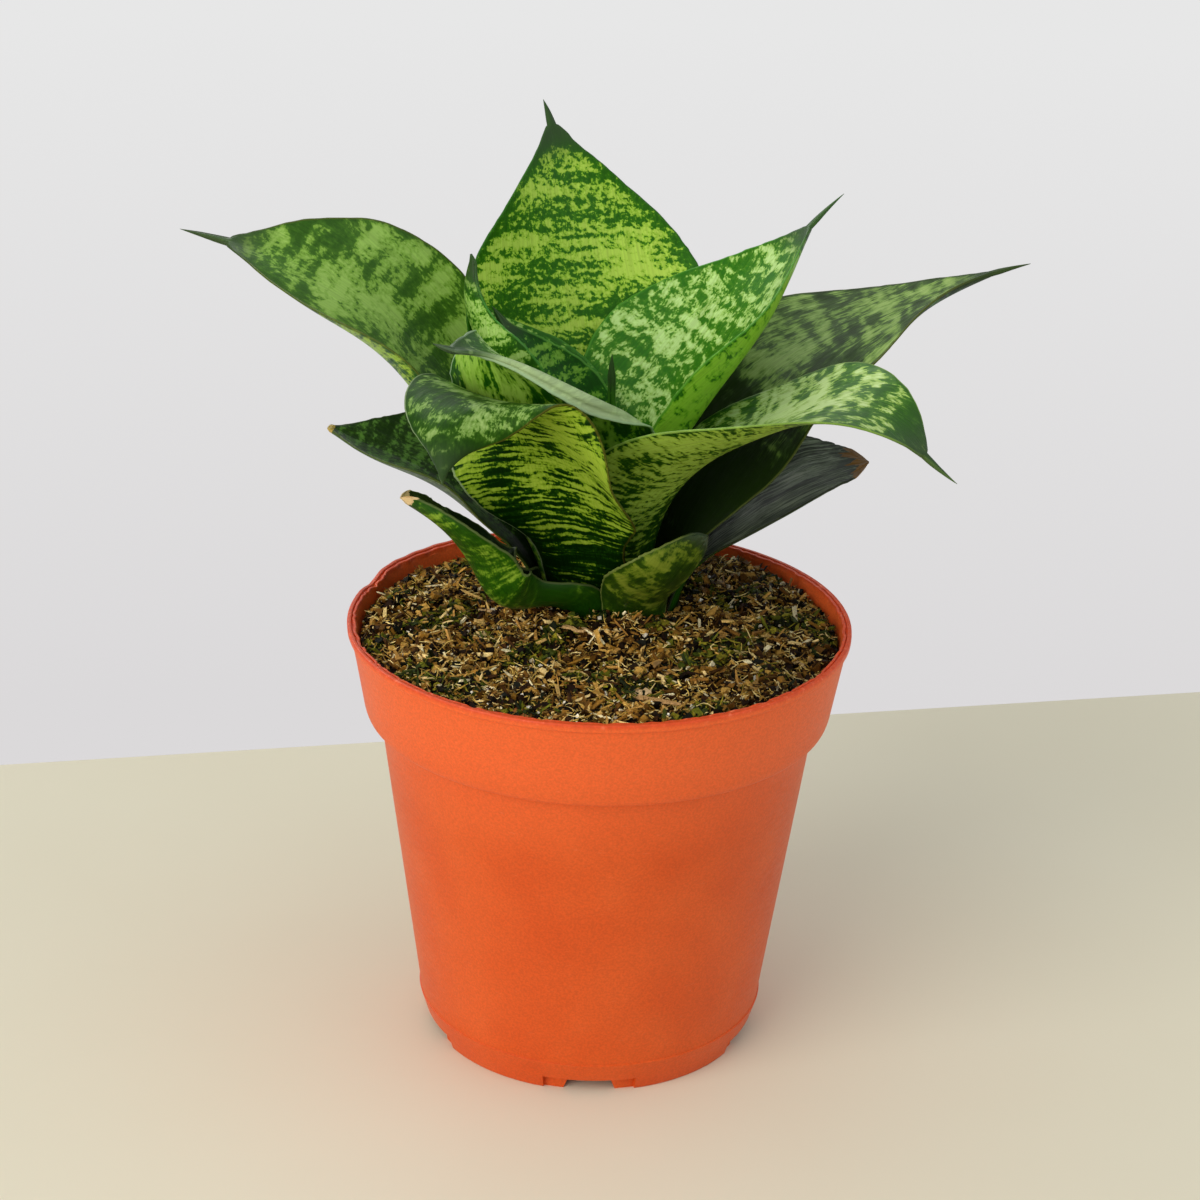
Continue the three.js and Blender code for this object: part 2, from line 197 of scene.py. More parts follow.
fullBlade = [0.66, 0.86, 0.98, 1, 0.84, 0.46, 0.07]
slimBlade = [0.66, 0.84, 0.95, 1, 0.84, 0.46, 0.07]
waistedBlade = [0.5, 0.78, 0.96, 1, 0.84, 0.46, 0.07]
tornBlade = [0.68, 0.86, 0.98, 1, 0.86, 0.6, 0.3]
cutBlade = [0.65, 1.02, 0.98, 1, 0.86, 0.6, 0.3]

# how a face is patterned: each layer is (across mm, along mm, detail, weight), from cross bands to single
# specks, and the tones run from its darkest patches to its palest
mottled = {
    "layers": [(30, 2.6, 1, 0.36), (13, 15, 0, 0.07), (1.8, 1.3, 5, 0.37), (0.6, 0.8, 2, 0.2)],
    "wander": 1.6, "cover": 0.5, "soft": 0.007, "tones": ["#215504", "#306a06", "#86b42a", "#aacd4a"]}
barred = {
    "layers": [(9, 1.1, 1, 0.44), (12, 12, 0, 0.18), (1.4, 1.0, 4, 0.27), (0.5, 0.9, 2, 0.12)],
    "wander": 1.8, "cover": 0.464, "soft": 0.012, "tones": ["#0a2603", "#1c4406", "#7c9e22", "#9ab63a"]}
plain = {
    "layers": [(6, 1.5, 2, 0.42), (12, 14, 0, 0.16), (1.5, 1.0, 4, 0.28), (0.5, 1.2, 2, 0.14)],
    "wander": 1.6, "cover": 0.43, "soft": 0.012, "tones": ["#1e4e06", "#2e640a", "#7ca624", "#9cc23c"]}

# a leaf: its foot stands on a ring round the crown, side, rise, turn and roll steer its midrib in degrees,
# cup bends the blade across, hem rolls its left margin over, and awn is its point's length and lift
leaves = {
    "spear": {
        "ring": 1.6, "side": 60, "length": 51.5, "width": 7, "foot": 4.5, "outline": fullBlade,
        "slim": 0.6, "rise": [86, 87, 89, 92, 93], "turn": [0, 0, 0], "roll": [0, 0, 0],
        "cup": [75, 80, 80, 60], "awn": [5, 0], "edge": "#3f7320",
        "inner": mottled | {"cover": 0.54, "tones": ["#1c4a0c", "#265c10", "#4c8a24", "#aacd4a"]},
        "outer": plain | {"cover": 0.53, "tones": ["#1c4a0c", "#2a6212", "#4f8c26", "#9cc23c"]},
    },
    "young_inner": {
        "ring": 3.6, "side": 147, "length": 65, "width": 30, "foot": 10, "outline": fullBlade,
        "rise": [86, 80, 69, 56, 51], "turn": [0, 2, 6], "roll": [0, -4, -5], "cup": [70, 61, 52, 51],
        "awn": [4, 0], "edge": "#4f8a30",
        "inner": mottled | {"cover": 0.51, "tones": ["#164a05", "#1f5c08", "#5c9226", "#7cae3e"]},
        "outer": mottled | {"cover": 0.505, "tones": ["#1a4e06", "#27630a", "#6c9c2c", "#8cb44c"]},
    },
    "young_left": {
        "ring": 5.8, "side": 163, "length": 80, "width": 47, "foot": 13, "outline": waistedBlade,
        "rise": [85, 77, 58, 59, 103], "turn": [-7, 9, 2], "roll": [0, 1, 34], "cup": [62, 68, 48, 32],
        "awn": [2, -22], "hem": [0, 0, 16, 0, -60], "edge": "#3a7a24",
        "inner": mottled | {"cover": 0.49, "tones": ["#245e08", "#34720c", "#7cac40", "#a4c870"]},
        "outer": mottled | {"cover": 0.497, "tones": ["#22540a", "#336a10", "#74a436", "#a0c668"]},
    },
    "right_pale": {
        "ring": 7, "side": 28, "length": 92, "width": 67, "foot": 12, "outline": waistedBlade,
        "rise": [83, 75, 53, 51, 54], "turn": [2, 2, 1], "roll": [0, -10, -14], "cup": [81, 65, 39, 31],
        "awn": [11, -16], "edge": "#4d8f28",
        # the palest inner tone is the leaf's pale mottling, pushed paler as a painted sheen
        "inner": mottled | {
            "layers": [(10, 3.2, 1, 0.26), (12, 12, 0, 0.1), (2.4, 2.1, 6, 0.44), (0.6, 1.0, 2, 0.2)],
            "cover": 0.5, "tones": ["#2a6c08", "#427e14", "#90bc52", "#bade8a"]},
        "outer": plain | {"cover": 0.42, "tones": ["#1c5c06", "#2c700c", "#6fae20", "#94c83a"]},
    },
    "front_rolled": {
        "ring": 9, "side": 244.5, "length": 86, "width": 46, "foot": 14,
        "outline": [0.62, 0.87, 0.98, 1, 0.89, 0.41, 0.07], "rise": [86, 66, 65, 56, 4],
        "turn": [-7, -11, -32], "roll": [0, 15, -13], "cup": [57, 55, 10, 44], "awn": [5, 22],
        "hem": [0, 0, -35, -108, -110], "edge": "#9dbb90", "rim": (6.4, "#a9bf8c"),
        "inner": mottled | {"tones": ["#265614", "#35681e", "#84ac58", "#a8c688"]},
        "outer": plain | {
            "layers": [(1.4, 5, 1, 0.3), (9, 11, 0, 0.2), (2.4, 3, 5, 0.34), (0.5, 1.2, 2, 0.16)],
            "cover": 0.48, "tones": ["#164a05", "#245e08", "#70a024", "#98c44a"]},
    },
    "back_tall": {
        "ring": 9.4, "side": 103, "length": 104.3, "width": 60, "foot": 18, "outline": waistedBlade,
        "rise": [82, 57.5, 58.5, 75, 76.5], "turn": [-8, 19.5, 30.5], "roll": [0, -6.5, -5],
        "cup": [41, 43.5, 19.5, 27], "awn": [6, -14], "edge": "#2c6410", "slant": -0.12,
        "border": (4.2, 0.08),
        "fall": [(0.0, 0.36), (0.16, 0.46), (0.34, 0.56), (0.56, 0.495),
                 (0.74, 0.53), (0.9, 0.5), (0.98, 0.38)],
        "inner": mottled | {
            "layers": [(24, 3.1, 1, 0.3), (11, 11, 0, 0.08), (1.6, 1.2, 5, 0.42), (0.6, 0.8, 2, 0.2)],
            "tones": ["#266004", "#38760a", "#8cba2e", "#b2d452"]},
        "outer": plain | {"cover": 0.47},
    },
    "right_arching": {
        "ring": 11.6, "side": 309, "length": 99, "width": 60, "foot": 22, "outline": fullBlade,
        "rise": [93, 65, 34, 22, -51], "turn": [20, 31, 26], "roll": [7, -8, 5], "cup": [63, 35, 19, 14],
        "awn": [9, 18], "edge": "#86a848", "slant": 0.08,
        # painted light on the top of the arch, and painted shade towards the tip and the foot
        "fall": [(0.0, 0.34), (0.16, 0.42), (0.34, 0.47), (0.5, 0.54),
                 (0.62, 0.545), (0.76, 0.49), (0.98, 0.36)],
        "inner": mottled | {
            "layers": [(12, 4, 1, 0.3), (11, 12, 0, 0.16), (2.8, 3.4, 5, 0.36), (0.5, 1.8, 2, 0.18)],
            "cover": 0.49, "tones": ["#2b5c0c", "#46781c", "#98bc50", "#c6e094"]},
        "outer": plain | {
            "layers": [(4.2, 1.15, 2, 0.42), (11, 14, 0, 0.18), (1.6, 1.0, 4, 0.27), (0.5, 1.1, 2, 0.13)],
            "cover": 0.478, "tones": ["#143c05", "#2c5a08", "#8aac34", "#a6c84e"]},
    },
    "left_long": {
        "ring": 11.6, "side": 157, "length": 109, "width": 58, "foot": 22, "outline": slimBlade,
        "rise": [82, 44, 53, 33, 15], "turn": [2, 17, 18], "roll": [0, -1, -25], "cup": [48, 50, 40, 32],
        "awn": [11, -2], "edge": "#4f5c20",
        "fall": [(0.0, 0.34), (0.16, 0.46), (0.32, 0.53), (0.91, 0.5), (0.98, 0.4)],
        "inner": mottled | {
            "layers": [(20, 4.5, 1, 0.3), (14, 16, 0, 0.2), (2.4, 2.0, 5, 0.34), (0.6, 1.1, 2, 0.16)],
            "cover": 0.5, "soft": 0.014, "tones": ["#305a12", "#43701c", "#78a43a", "#96be58"]},
        "outer": plain | {"cover": 0.47, "tones": ["#1e4e06", "#2e640a", "#6c8a30", "#9cc23c"]},
    },
    "right_long": {
        "ring": 13.6, "side": 22, "length": 107, "width": 58, "foot": 24, "outline": fullBlade,
        "rise": [84, 54, 39, 29, 26], "turn": [7, -15, -23], "roll": [1, 6, -11], "cup": [16, 27, 9, 27],
        "awn": [9, -9], "edge": "#56602f", "shine": 0.05,
        # painted shade: the foot, down under the arching leaf, is painted much darker
        "fall": [(0.0, 0.14), (0.3, 0.2), (0.52, 0.47), (0.91, 0.5), (0.98, 0.4)],
        "inner": mottled | {
            "layers": [(16, 4, 1, 0.34), (12, 15, 0, 0.18), (1.9, 3.4, 5, 0.3), (0.5, 3.0, 2, 0.18)],
            "cover": 0.5, "soft": 0.016, "tones": ["#263c10", "#44602a", "#7a9c48", "#9cba66"]},
        "outer": plain | {"cover": 0.5, "tones": ["#0c2a04", "#143a08", "#2a5612", "#386618"]},
    },
    "front_folded": {
        "ring": 14.2, "side": 259, "length": 91, "width": 50, "foot": 17,
        "outline": [0.44, 0.78, 0.96, 1, 0.84, 0.46, 0.07], "rise": [79, 66, 66, 15, -62],
        "turn": [-26, -45, 6], "roll": [2, 14, -3], "cup": [-8, -39, 14, -76], "awn": [3, -16],
        # the long dark band at -13 mm across the outer face is painted shade along the fold
        "edge": "#8aa072", "edgeLeft": "#4c4c14", "foldShade": (-13, 8, 0.048), "shine": 0.05,
        # painted shade towards the foot
        "fall": [(0.0, 0.24), (0.2, 0.3), (0.46, 0.48), (0.9, 0.5), (0.98, 0.46)],
        "inner": mottled | {
            "layers": [(10, 4, 1, 0.28), (9, 10, 0, 0.2), (2.0, 2.2, 5, 0.36), (0.5, 1.4, 2, 0.16)],
            "cover": 0.515, "tones": ["#1e4008", "#325812", "#648838", "#8caa60"]},
        "outer": barred,
    },
    "left_low": {
        "ring": 14.2, "side": 171, "length": 61, "width": 40, "foot": 15, "outline": fullBlade,
        "rise": [86, 40, 31, 22, 27], "turn": [-6, 3, 5], "roll": [0, 3, -7], "cup": [10, 18, 14, 10],
        "crease": 13, "awn": [1, 0], "edge": "#4c5a28", "callus": ("#b39a4e", 0.5), "marginTear": 2,
        "inner": mottled | {
            "cover": 0.52, "soft": 0.012, "tones": ["#1c370b", "#2e4c18", "#507830", "#64923f"]},
        "outer": plain | {"cover": 0.5, "tones": ["#1e4e06", "#2c4a14", "#4a6a24", "#5c7a34"]},
    },
    "back_low": {
        "ring": 15.8, "side": 92, "length": 62, "width": 42, "foot": 16, "outline": fullBlade,
        "rise": [86, 52, 38, 28, 18], "turn": [0, 0, 0], "roll": [0, 0, 0], "cup": [48, 40, 32, 24],
        "awn": [4, 0], "edge": "#5c7030",
        "inner": mottled | {"tones": ["#2b4a1c", "#3a5c24", "#668a3a", "#7fa050"]},
        "outer": plain | {"cover": 0.48, "tones": ["#1e4e06", "#2e640a", "#5c7c2c", "#9cc23c"]},
    },
    "right_low": {
        "ring": 16.4, "side": 12, "length": 55, "width": 42, "foot": 24, "outline": tornBlade,
        "rise": [84, 43, 32, 21, 7], "turn": [4, -1, -6], "roll": [2, 6, 1], "cup": [38, 34, 24, 7],
        "awn": [1, 0], "tear": 0.07, "marginTear": 6, "edge": "#34382a", "callus": ("#7c5a2a", 0.2),
        "shine": 0.08,
        # the pale grey-green streaks along the inner face are partly painted sheen
        "inner": mottled | {
            "layers": [(12, 9, 1, 0.16), (0.8, 22, 3, 0.5), (9, 9, 0, 0.14), (0.4, 2.5, 2, 0.2)],
            "cover": 0.51, "soft": 0.05, "tones": ["#20301a", "#323e26", "#88967a", "#b4baa0"]},
        "outer": plain | {"cover": 0.52, "tones": ["#1e4e06", "#22380f", "#3c5a20", "#4a6a2a"]},
    },
    "front_cut": {
        "ring": 18.2, "side": 245, "length": 55, "width": 27, "foot": 24, "outline": cutBlade,
        "rise": [86, 2, 62, 49, 34], "turn": [-48, -33, -53], "roll": [11, -10, 10],
        "cup": [104, 71, 34, 53], "awn": [1, 0], "tear": 0.02, "marginTear": 2.5, "edge": "#566436",
        "callus": ("#d2b684", 0.3), "raised": [0, 0, 0, 2.4, 3.4, 3.6, 2.4, 1.2, 0.5, 0, 0],
        "inner": mottled | {"cover": 0.53, "tones": ["#16260f", "#1f3416", "#35492a", "#465c3a"]},
        "outer": barred | {
            "layers": [(9, 1.9, 2, 0.38), (12, 12, 0, 0.2), (2.2, 1.7, 4, 0.28), (0.5, 0.9, 2, 0.14)],
            "cover": 0.51, "tones": ["#1d4805", "#2c5808", "#547c16", "#84a632"]},
    },
    "front_torn": {
        "ring": 19.8, "side": 293, "length": 29, "width": 29.5, "foot": 12, "outline": tornBlade,
        "rise": [86, 56, 43, 56, 42], "turn": [30, 74, 106], "roll": [-10, -28, -67],
        "cup": [55, 41, 33, 9], "awn": [1, 0], "tear": 0.06, "marginTear": 3, "edge": "#74803e",
        "inner": mottled | {"tones": ["#1c300a", "#283e0e", "#46601a", "#587424"]},
        "outer": barred | {
            "layers": [(9, 2.2, 2, 0.36), (9, 9, 0, 0.22), (2, 1.6, 4, 0.28), (0.5, 0.9, 2, 0.14)],
            "cover": 0.515, "tones": ["#203c08", "#34500a", "#5e761a", "#80902c"]},
    },
}

# how light a blade is from its foot to its tip, where under 0.5 is darker, with painted shade at the foot
# where the leaves crowd round the crown, and the dark green border along its margins: how many mm wide, and
# how strong
usualShadeAlong = [(0.0, 0.3), (0.16, 0.38), (0.32, 0.5), (0.91, 0.5), (0.98, 0.4)]
usualBorder = (1.6, 0.05)


def along(keys, s):
    # a smooth curve through evenly spaced keys, read at the shares s
    keys = np.asarray(keys, float)
    x = np.clip(s, 0, 1) * (len(keys) - 1)
    i = np.minimum(x.astype(int), len(keys) - 2)
    t = x - i
    a, b, c, d = keys[np.maximum(i - 1, 0)], keys[i], keys[i + 1], keys[np.minimum(i + 2, len(keys) - 1)]
    cubic = (3 * b - a - 3 * c + d) * t ** 3
    return 0.5 * (2 * b + (c - a) * t + (2 * a - 5 * b + 4 * c - d) * t ** 2 + cubic)


def bladeFrame(leaf, s):
    # forward along the midrib, left across the blade, and up out of its inner face
    rise = np.radians(along(leaf["rise"], s))
    heading = np.radians(leaf["side"] + along([0] + leaf["turn"], s))
    roll = np.radians(along(leaf["roll"], s))[..., None]
    forward = np.stack([np.cos(rise) * np.cos(heading), np.cos(rise) * np.sin(heading), np.sin(rise)], -1)
    level = np.stack([-np.sin(heading), np.cos(heading), 0 * heading], -1)
    upright = np.cross(forward, level)
    left = level * np.cos(roll) + upright * np.sin(roll)
    return forward, left, upright * np.cos(roll) - level * np.sin(roll)


def tipDirection(leaf):
    return bladeFrame(leaf, np.ones(1))[0][0]


def halfWidth(leaf, s):
    foot = leaf["foot"] / leaf["width"]
    share = blade["footShare"]
    keys = [foot, share * foot + (1 - share) * leaf["outline"][0]] + leaf["outline"]
    half = np.maximum(leaf["width"] / 2 * along(keys, s) * leaf.get("slim", 1), blade["narrowest"])
    if leaf["awn"][0] > point["long"]:           # the blade ends round, and only the narrow point goes on
        closing = np.clip((s - 1) * leaf["length"] / blade["close"] + 1, 0, 1)
        narrow = min(point["width"], point["share"] * leaf["width"])
        half = narrow + (half - narrow) * np.sqrt(1 - closing ** 2)
    return half


def bladePoints(leaf, s, u):
    steps = blade["ribSteps"]
    fine = np.linspace(0, 1, steps + 1)
    forward = bladeFrame(leaf, fine)[0]
    strides = (forward[1:] + forward[:-1]) / 2 * leaf["length"] / steps
    side = math.radians(leaf["side"])
    start = [crown["x"] + leaf["ring"] * math.cos(side), crown["y"] + leaf["ring"] * math.sin(side),
             crown["seat"]]
    midrib = np.vstack([start, start + np.cumsum(strides, 0)])
    centre = np.stack([np.interp(s, fine, midrib[:, i]) for i in range(3)], -1)
    _, left, up = bladeFrame(leaf, s)
    half = halfWidth(leaf, s)
    footCup = min(math.degrees(leaf["foot"] / 2 / leaf["ring"]), blade["mostCup"])
    cup = np.radians(along([footCup] + leaf["cup"], s))
    hem = np.radians(along(leaf["hem"], s)) * (u > 0) if "hem" in leaf else 0 * s
    crease = math.radians(leaf.get("crease", 0)) * np.clip(s / blade["creaseRamp"], 0, 1)
    out = np.zeros_like(s)
    lift = np.zeros_like(s)
    parts = blade["acrossSteps"]
    for k in range(parts):
        t = (k + 0.5) / parts * np.abs(u)
        angle = crease + cup * t + hem * np.clip((t - blade["hemStart"]) / blade["hemRamp"], 0, 1)
        out += np.cos(angle) / parts
        lift += np.sin(angle) / parts
    places = centre + left * (out * u * half)[..., None] + up * (lift * np.abs(u) * half)[..., None]
    return places, half, midrib[-1]


def unitRows(vectors):
    return vectors / np.maximum(np.linalg.norm(vectors, axis=-1, keepdims=True), 1e-9)


def bladeGrid(rng, leaf):
    # shares along and across the blade, closer together at the tip and at the margins
    endStart = 1 - blade["endShare"]
    rowShare = np.concatenate([np.linspace(0, endStart, blade["rows"]),
                               np.linspace(endStart, 1, blade["endRows"] + 1)[1:]])
    x = np.linspace(-1, 1, blade["columns"])
    u, s = np.meshgrid(x + blade["crowding"] * np.sin(math.pi * x), rowShare)
    if "tear" in leaf:                           # a broken end: the blade stops short by a ragged amount
        coarse, fine = tornEnd["coarse"], tornEnd["fine"]
        ragged = np.interp(u[0], np.linspace(-1, 1, coarse), rng.random(coarse))
        ragged = ragged + tornEnd["fineShare"] * np.interp(u[0], np.linspace(-1, 1, fine), rng.random(fine))
        s = s - np.clip((s - tornEnd["from"]) / tornEnd["ramp"], 0, 1) ** 2 * leaf["tear"] * ragged
    return rowShare, s, u


def roughenMargins(rng, leaf, middle, half, rowShare):
    # the margins aren't quite even, and bites are missing from the torn ones
    waves, bitesAlong = np.linspace(0, 1, margin["waves"]), np.linspace(0, 1, margin["bites"])
    for column, inward in ((-1, -3), (0, 2)):
        wobble = margin["ragged"] * np.interp(rowShare, waves, rng.normal(size=margin["waves"]))
        bites = np.maximum(0, np.interp(rowShare, bitesAlong, rng.normal(size=margin["bites"])))
        torn = margin["ragged"] * (leaf.get("marginTear", 1) - 1)
        torn = torn * np.clip((rowShare - margin["tornFrom"]) / margin["tornRamp"], 0, 1)
        shift = (wobble - torn * bites) * np.clip(rowShare * 12, 0, 1) * np.clip(half[:, 0] / 3, 0, 1)
        outward = unitRows(middle[:, column] - middle[:, inward])
        for k, fade in enumerate(margin["fade"]):
            middle[:, column - k if column else k] += outward * (shift * fade)[:, None]


def addPoint(leaf, middle, half, tip, awnLength):
    # the hard point: rows that close in on the tip
    forward = tipDirection(leaf)
    bent = dict(leaf, rise=[angle + leaf["awn"][1] for angle in leaf["rise"]])
    apex = tip + tipDirection(bent) * awnLength
    last = middle[-1] - tip
    pointRows = []
    pointHalf = []
    for t in np.linspace(0, 1, point["rows"] + 1)[1:]:
        start = tip + forward * awnLength * t
        centre = start + (apex - tip - forward * awnLength) * t * (point["bend"] * t + 1 - point["bend"])
        taper = (1 - t) ** point["taper"] if awnLength > point["long"] else math.sqrt(1 - t * t)
        pointRows.append(centre + last * taper)
        pointHalf.append(half[-1, 0] * taper)
    return np.concatenate([middle, np.array(pointRows)]), np.concatenate([half[:, 0], np.array(pointHalf)])


def bladeSkin(grid, halves, rows, u, awnLength):
    # a ring of points for each row: the inner face, the right margin, the outer face and the left margin
    total = len(grid)
    normal = unitRows(np.cross(np.gradient(grid, axis=0), np.gradient(grid, axis=1)))
    normal[rows:] = normal[rows - 1]
    normal[0, :, 2] = 0
    normal[0] = unitRows(normal[0])
    thick = np.tile(blade["edge"] + (blade["thickness"] - blade["edge"]) * (1 - np.abs(u) ** 3), (total, 1))
    if awnLength > point["long"]:                # the point is nearly round
        for i in range(rows, total):
            rounded = point["least"] + point["deep"] * halves[i] * np.sqrt(1 - np.abs(u) ** 2.2)
            thick[i] = np.minimum(thick[i], rounded)
    else:
        thick[rows:] *= np.linspace(1, point["flat"], total - rows)[:, None]
    innerFace = grid + normal * thick[..., None] / 2
    outerFace = grid - normal * thick[..., None] / 2
    rimWidth = np.minimum(blade["edge"] * 0.45, halves * 0.4)[:, None]
    rightRim = grid[:, -1] + unitRows(grid[:, -1] - grid[:, -2]) * rimWidth
    leftRim = grid[:, 0] + unitRows(grid[:, 0] - grid[:, 1]) * rimWidth
    return np.concatenate([innerFace, rightRim[:, None], outerFace[:, ::-1], leftRim[:, None]], axis=1)


def patternPlaces(leaf, seed, halves, rowShare, u):
    # where each point lies on the blade, for the pattern: across and along in mm, and which face
    total, rows = len(halves), len(rowShare)
    shares = np.concatenate([rowShare, 1 + np.arange(1, total - rows + 1) / (total - rows) * 0.1])
    acrossMm = u * halves[:, None]
    alongMm = shares[:, None] * leaf["length"] + leaf.get("slant", 0) * acrossMm
    fromEdge = halves[:, None] * (1 - np.abs(u))
    one = np.ones((total, 1))
    face = np.concatenate([np.zeros(len(u)), [0.5], np.ones(len(u)), [0.5]])
    place = np.stack([
        np.concatenate([acrossMm, one * halves[:, None], acrossMm[:, ::-1], -one * halves[:, None]], 1),
        np.concatenate([alongMm, alongMm[:, -1:], alongMm[:, ::-1], alongMm[:, :1]], 1),
        np.full((total, len(face)), seed * 17.3)], -1)
    share = np.stack([
        np.concatenate([fromEdge, 0 * one, fromEdge[:, ::-1], 0 * one], 1),
        np.tile(shares[:, None], (1, len(face))),
        np.tile(face, (total, 1))], -1)
    return {"bladePlace": place.reshape(-1, 3), "bladeShare": share.reshape(-1, 3)}


def leafMesh(name, leaf, seed):
    rng = np.random.default_rng(seed)
    columns = blade["columns"]
    rowShare, s, u = bladeGrid(rng, leaf)
    middle, half, tip = bladePoints(leaf, s, u)
    roughenMargins(rng, leaf, middle, half, rowShare)
    if "raised" in leaf:                         # the left margin stands higher, in mm
        middle[..., 2] += along(leaf["raised"], s) * np.maximum(u, 0) ** 1.5
    middle[0, :, 2] = crown["seat"]
    awnLength = leaf["awn"][0] - point["short"]  # so that the finer point stays inside the solid's box
    grid, halves = addPoint(leaf, middle, half, tip, awnLength)
    ring = bladeSkin(grid, halves, len(rowShare), u[0], awnLength)
    total, count = ring.shape[:2]
    faces = ringWalls(total, count)
    for atTip, base in ((False, 0), (True, (total - 1) * count)):
        caps = [(base + k, base + k + 1, base + 2 * columns - 1 - k, base + 2 * columns - k)
                for k in range(columns - 1)]
        caps.append((base + columns - 1, base + columns, base + columns + 1))
        caps.append((base, base + 2 * columns, base + 2 * columns + 1))
        faces += caps if atTip else [tuple(reversed(cap)) for cap in caps]
    points = ring.reshape(-1, 3)
    return meshPiece("leaf_" + name + "_blade", points, outwardFaces(points, faces),
                     [leafMaterial(name, leaf)], "leaf", "leaf_" + name,
                     patternPlaces(leaf, seed, halves, rowShare, u[0]))


def facePattern(tree, place, look, bias):
    # layers of noise at real sizes add up, and a sharp step cuts them into light and dark patches
    wander = addNode(tree, "TexNoise", {"Scale": 0.11, "Detail": 2}, {"Vector": place})
    reach = look["wander"] * 2
    bent = addNode(tree, "VectorMath", {"operation": "MULTIPLY_ADD", 1: (reach, reach, 0)},
                   {0: wander.outputs["Color"], 2: place})
    total = bias
    for number, (across, alongSize, detail, weight) in enumerate(look["layers"]):
        sized = addNode(tree, "VectorMath", {"operation": "MULTIPLY_ADD", 1: (1 / across, 1 / alongSize, 1),
                                             2: (number * 7.1, number * 3.7, 0)}, {0: bent})
        noise = addNode(tree, "TexNoise", {"Scale": 1, "Detail": detail, "Roughness": 0.6}, {"Vector": sized})
        total = addNode(tree, "Math", {"operation": "MULTIPLY_ADD", 1: weight}, {0: noise, 2: total})
    ramp = addNode(tree, "ValToRGB", {}, {0: total})
    cover, soft = look["cover"], look["soft"]
    places = (cover - soft - 0.07, cover - soft, cover + soft, cover + soft + 0.06)
    paintRamp(ramp, list(zip(places, look["tones"])))
    return ramp


def coverBias(tree, leaf, s, fromEdge):
    # more dark towards the foot, as painted shade where the leaves crowd, and towards the tip and along the
    # margins
    fall = addNode(tree, "ValToRGB", {}, {0: s})
    paintRamp(fall, leaf.get("fall", usualShadeAlong))
    bias = addNode(tree, "Math", {"operation": "MULTIPLY_ADD", 1: 0.6, 2: -0.3}, {0: fall})
    reach, amount = leaf.get("border", usualBorder)
    border = addNode(tree, "MapRange", smoothStep | {1: 0.4, 2: reach, 3: -amount, 4: 0}, {0: fromEdge})
    return addNode(tree, "Math", {"operation": "ADD"}, {0: bias, 1: border})


def foldShadeBias(tree, foldShade, across, bias):
    # painted shade: a long dark band down the outer face, along its fold
    at, reach, amount = foldShade
    offset = addNode(tree, "Math", {"operation": "SUBTRACT", 1: at}, {0: across})
    apart = addNode(tree, "Math", {"operation": "ABSOLUTE"}, {0: offset})
    darker = addNode(tree, "MapRange", smoothStep | {1: 0, 2: reach, 3: -amount, 4: 0}, {0: apart})
    return addNode(tree, "Math", {"operation": "ADD"}, {0: bias, 1: darker})


def paleSheenStrip(tree, rim, inner, fromEdge, across, s):
    # the rolled-back margin shows a smooth, pale strip: its own paler face, brightened by a painted highlight
    reach, colour = rim
    soft = 0.8
    near = addNode(tree, "MapRange", smoothStep | {1: reach - soft, 2: reach + soft, 3: 0.8, 4: 0},
                   {0: fromEdge})
    onLeft = addNode(tree, "MapRange", {1: 2, 2: 6, 3: 0, 4: 1}, {0: across})
    upper = addNode(tree, "MapRange", {1: 0.36, 2: 0.58, 3: 0, 4: 1}, {0: s})
    both = addNode(tree, "Math", {"operation": "MULTIPLY"}, {0: near, 1: onLeft})
    strip = addNode(tree, "Math", {"operation": "MULTIPLY"}, {0: both, 1: upper})
    return addNode(tree, "Mix", colourMix | {7: linearColour(colour)}, {0: strip, 6: inner})


def tipShare(tree, corkMm, leaf, place, s):
    # the tip and its point darken, or a healed break is left dry and corky
    if not corkMm:
        return addNode(tree, "MapRange", smoothStep | {1: 0.9, 2: 0.99, 3: 0, 4: 0.8}, {0: s})
    ragged = addNode(tree, "TexNoise", {"Scale": 0.9, "Detail": 3}, {"Vector": place})
    reach = corkMm / leaf["length"]
    shifted = addNode(tree, "Math", {"operation": "MULTIPLY_ADD", 1: 2.4 * reach}, {0: ragged, 2: s})
    return addNode(tree, "MapRange", smoothStep | {1: 1 + 0.1 * reach, 2: 1 + 0.5 * reach, 3: 0, 4: 1},
                   {0: shifted})


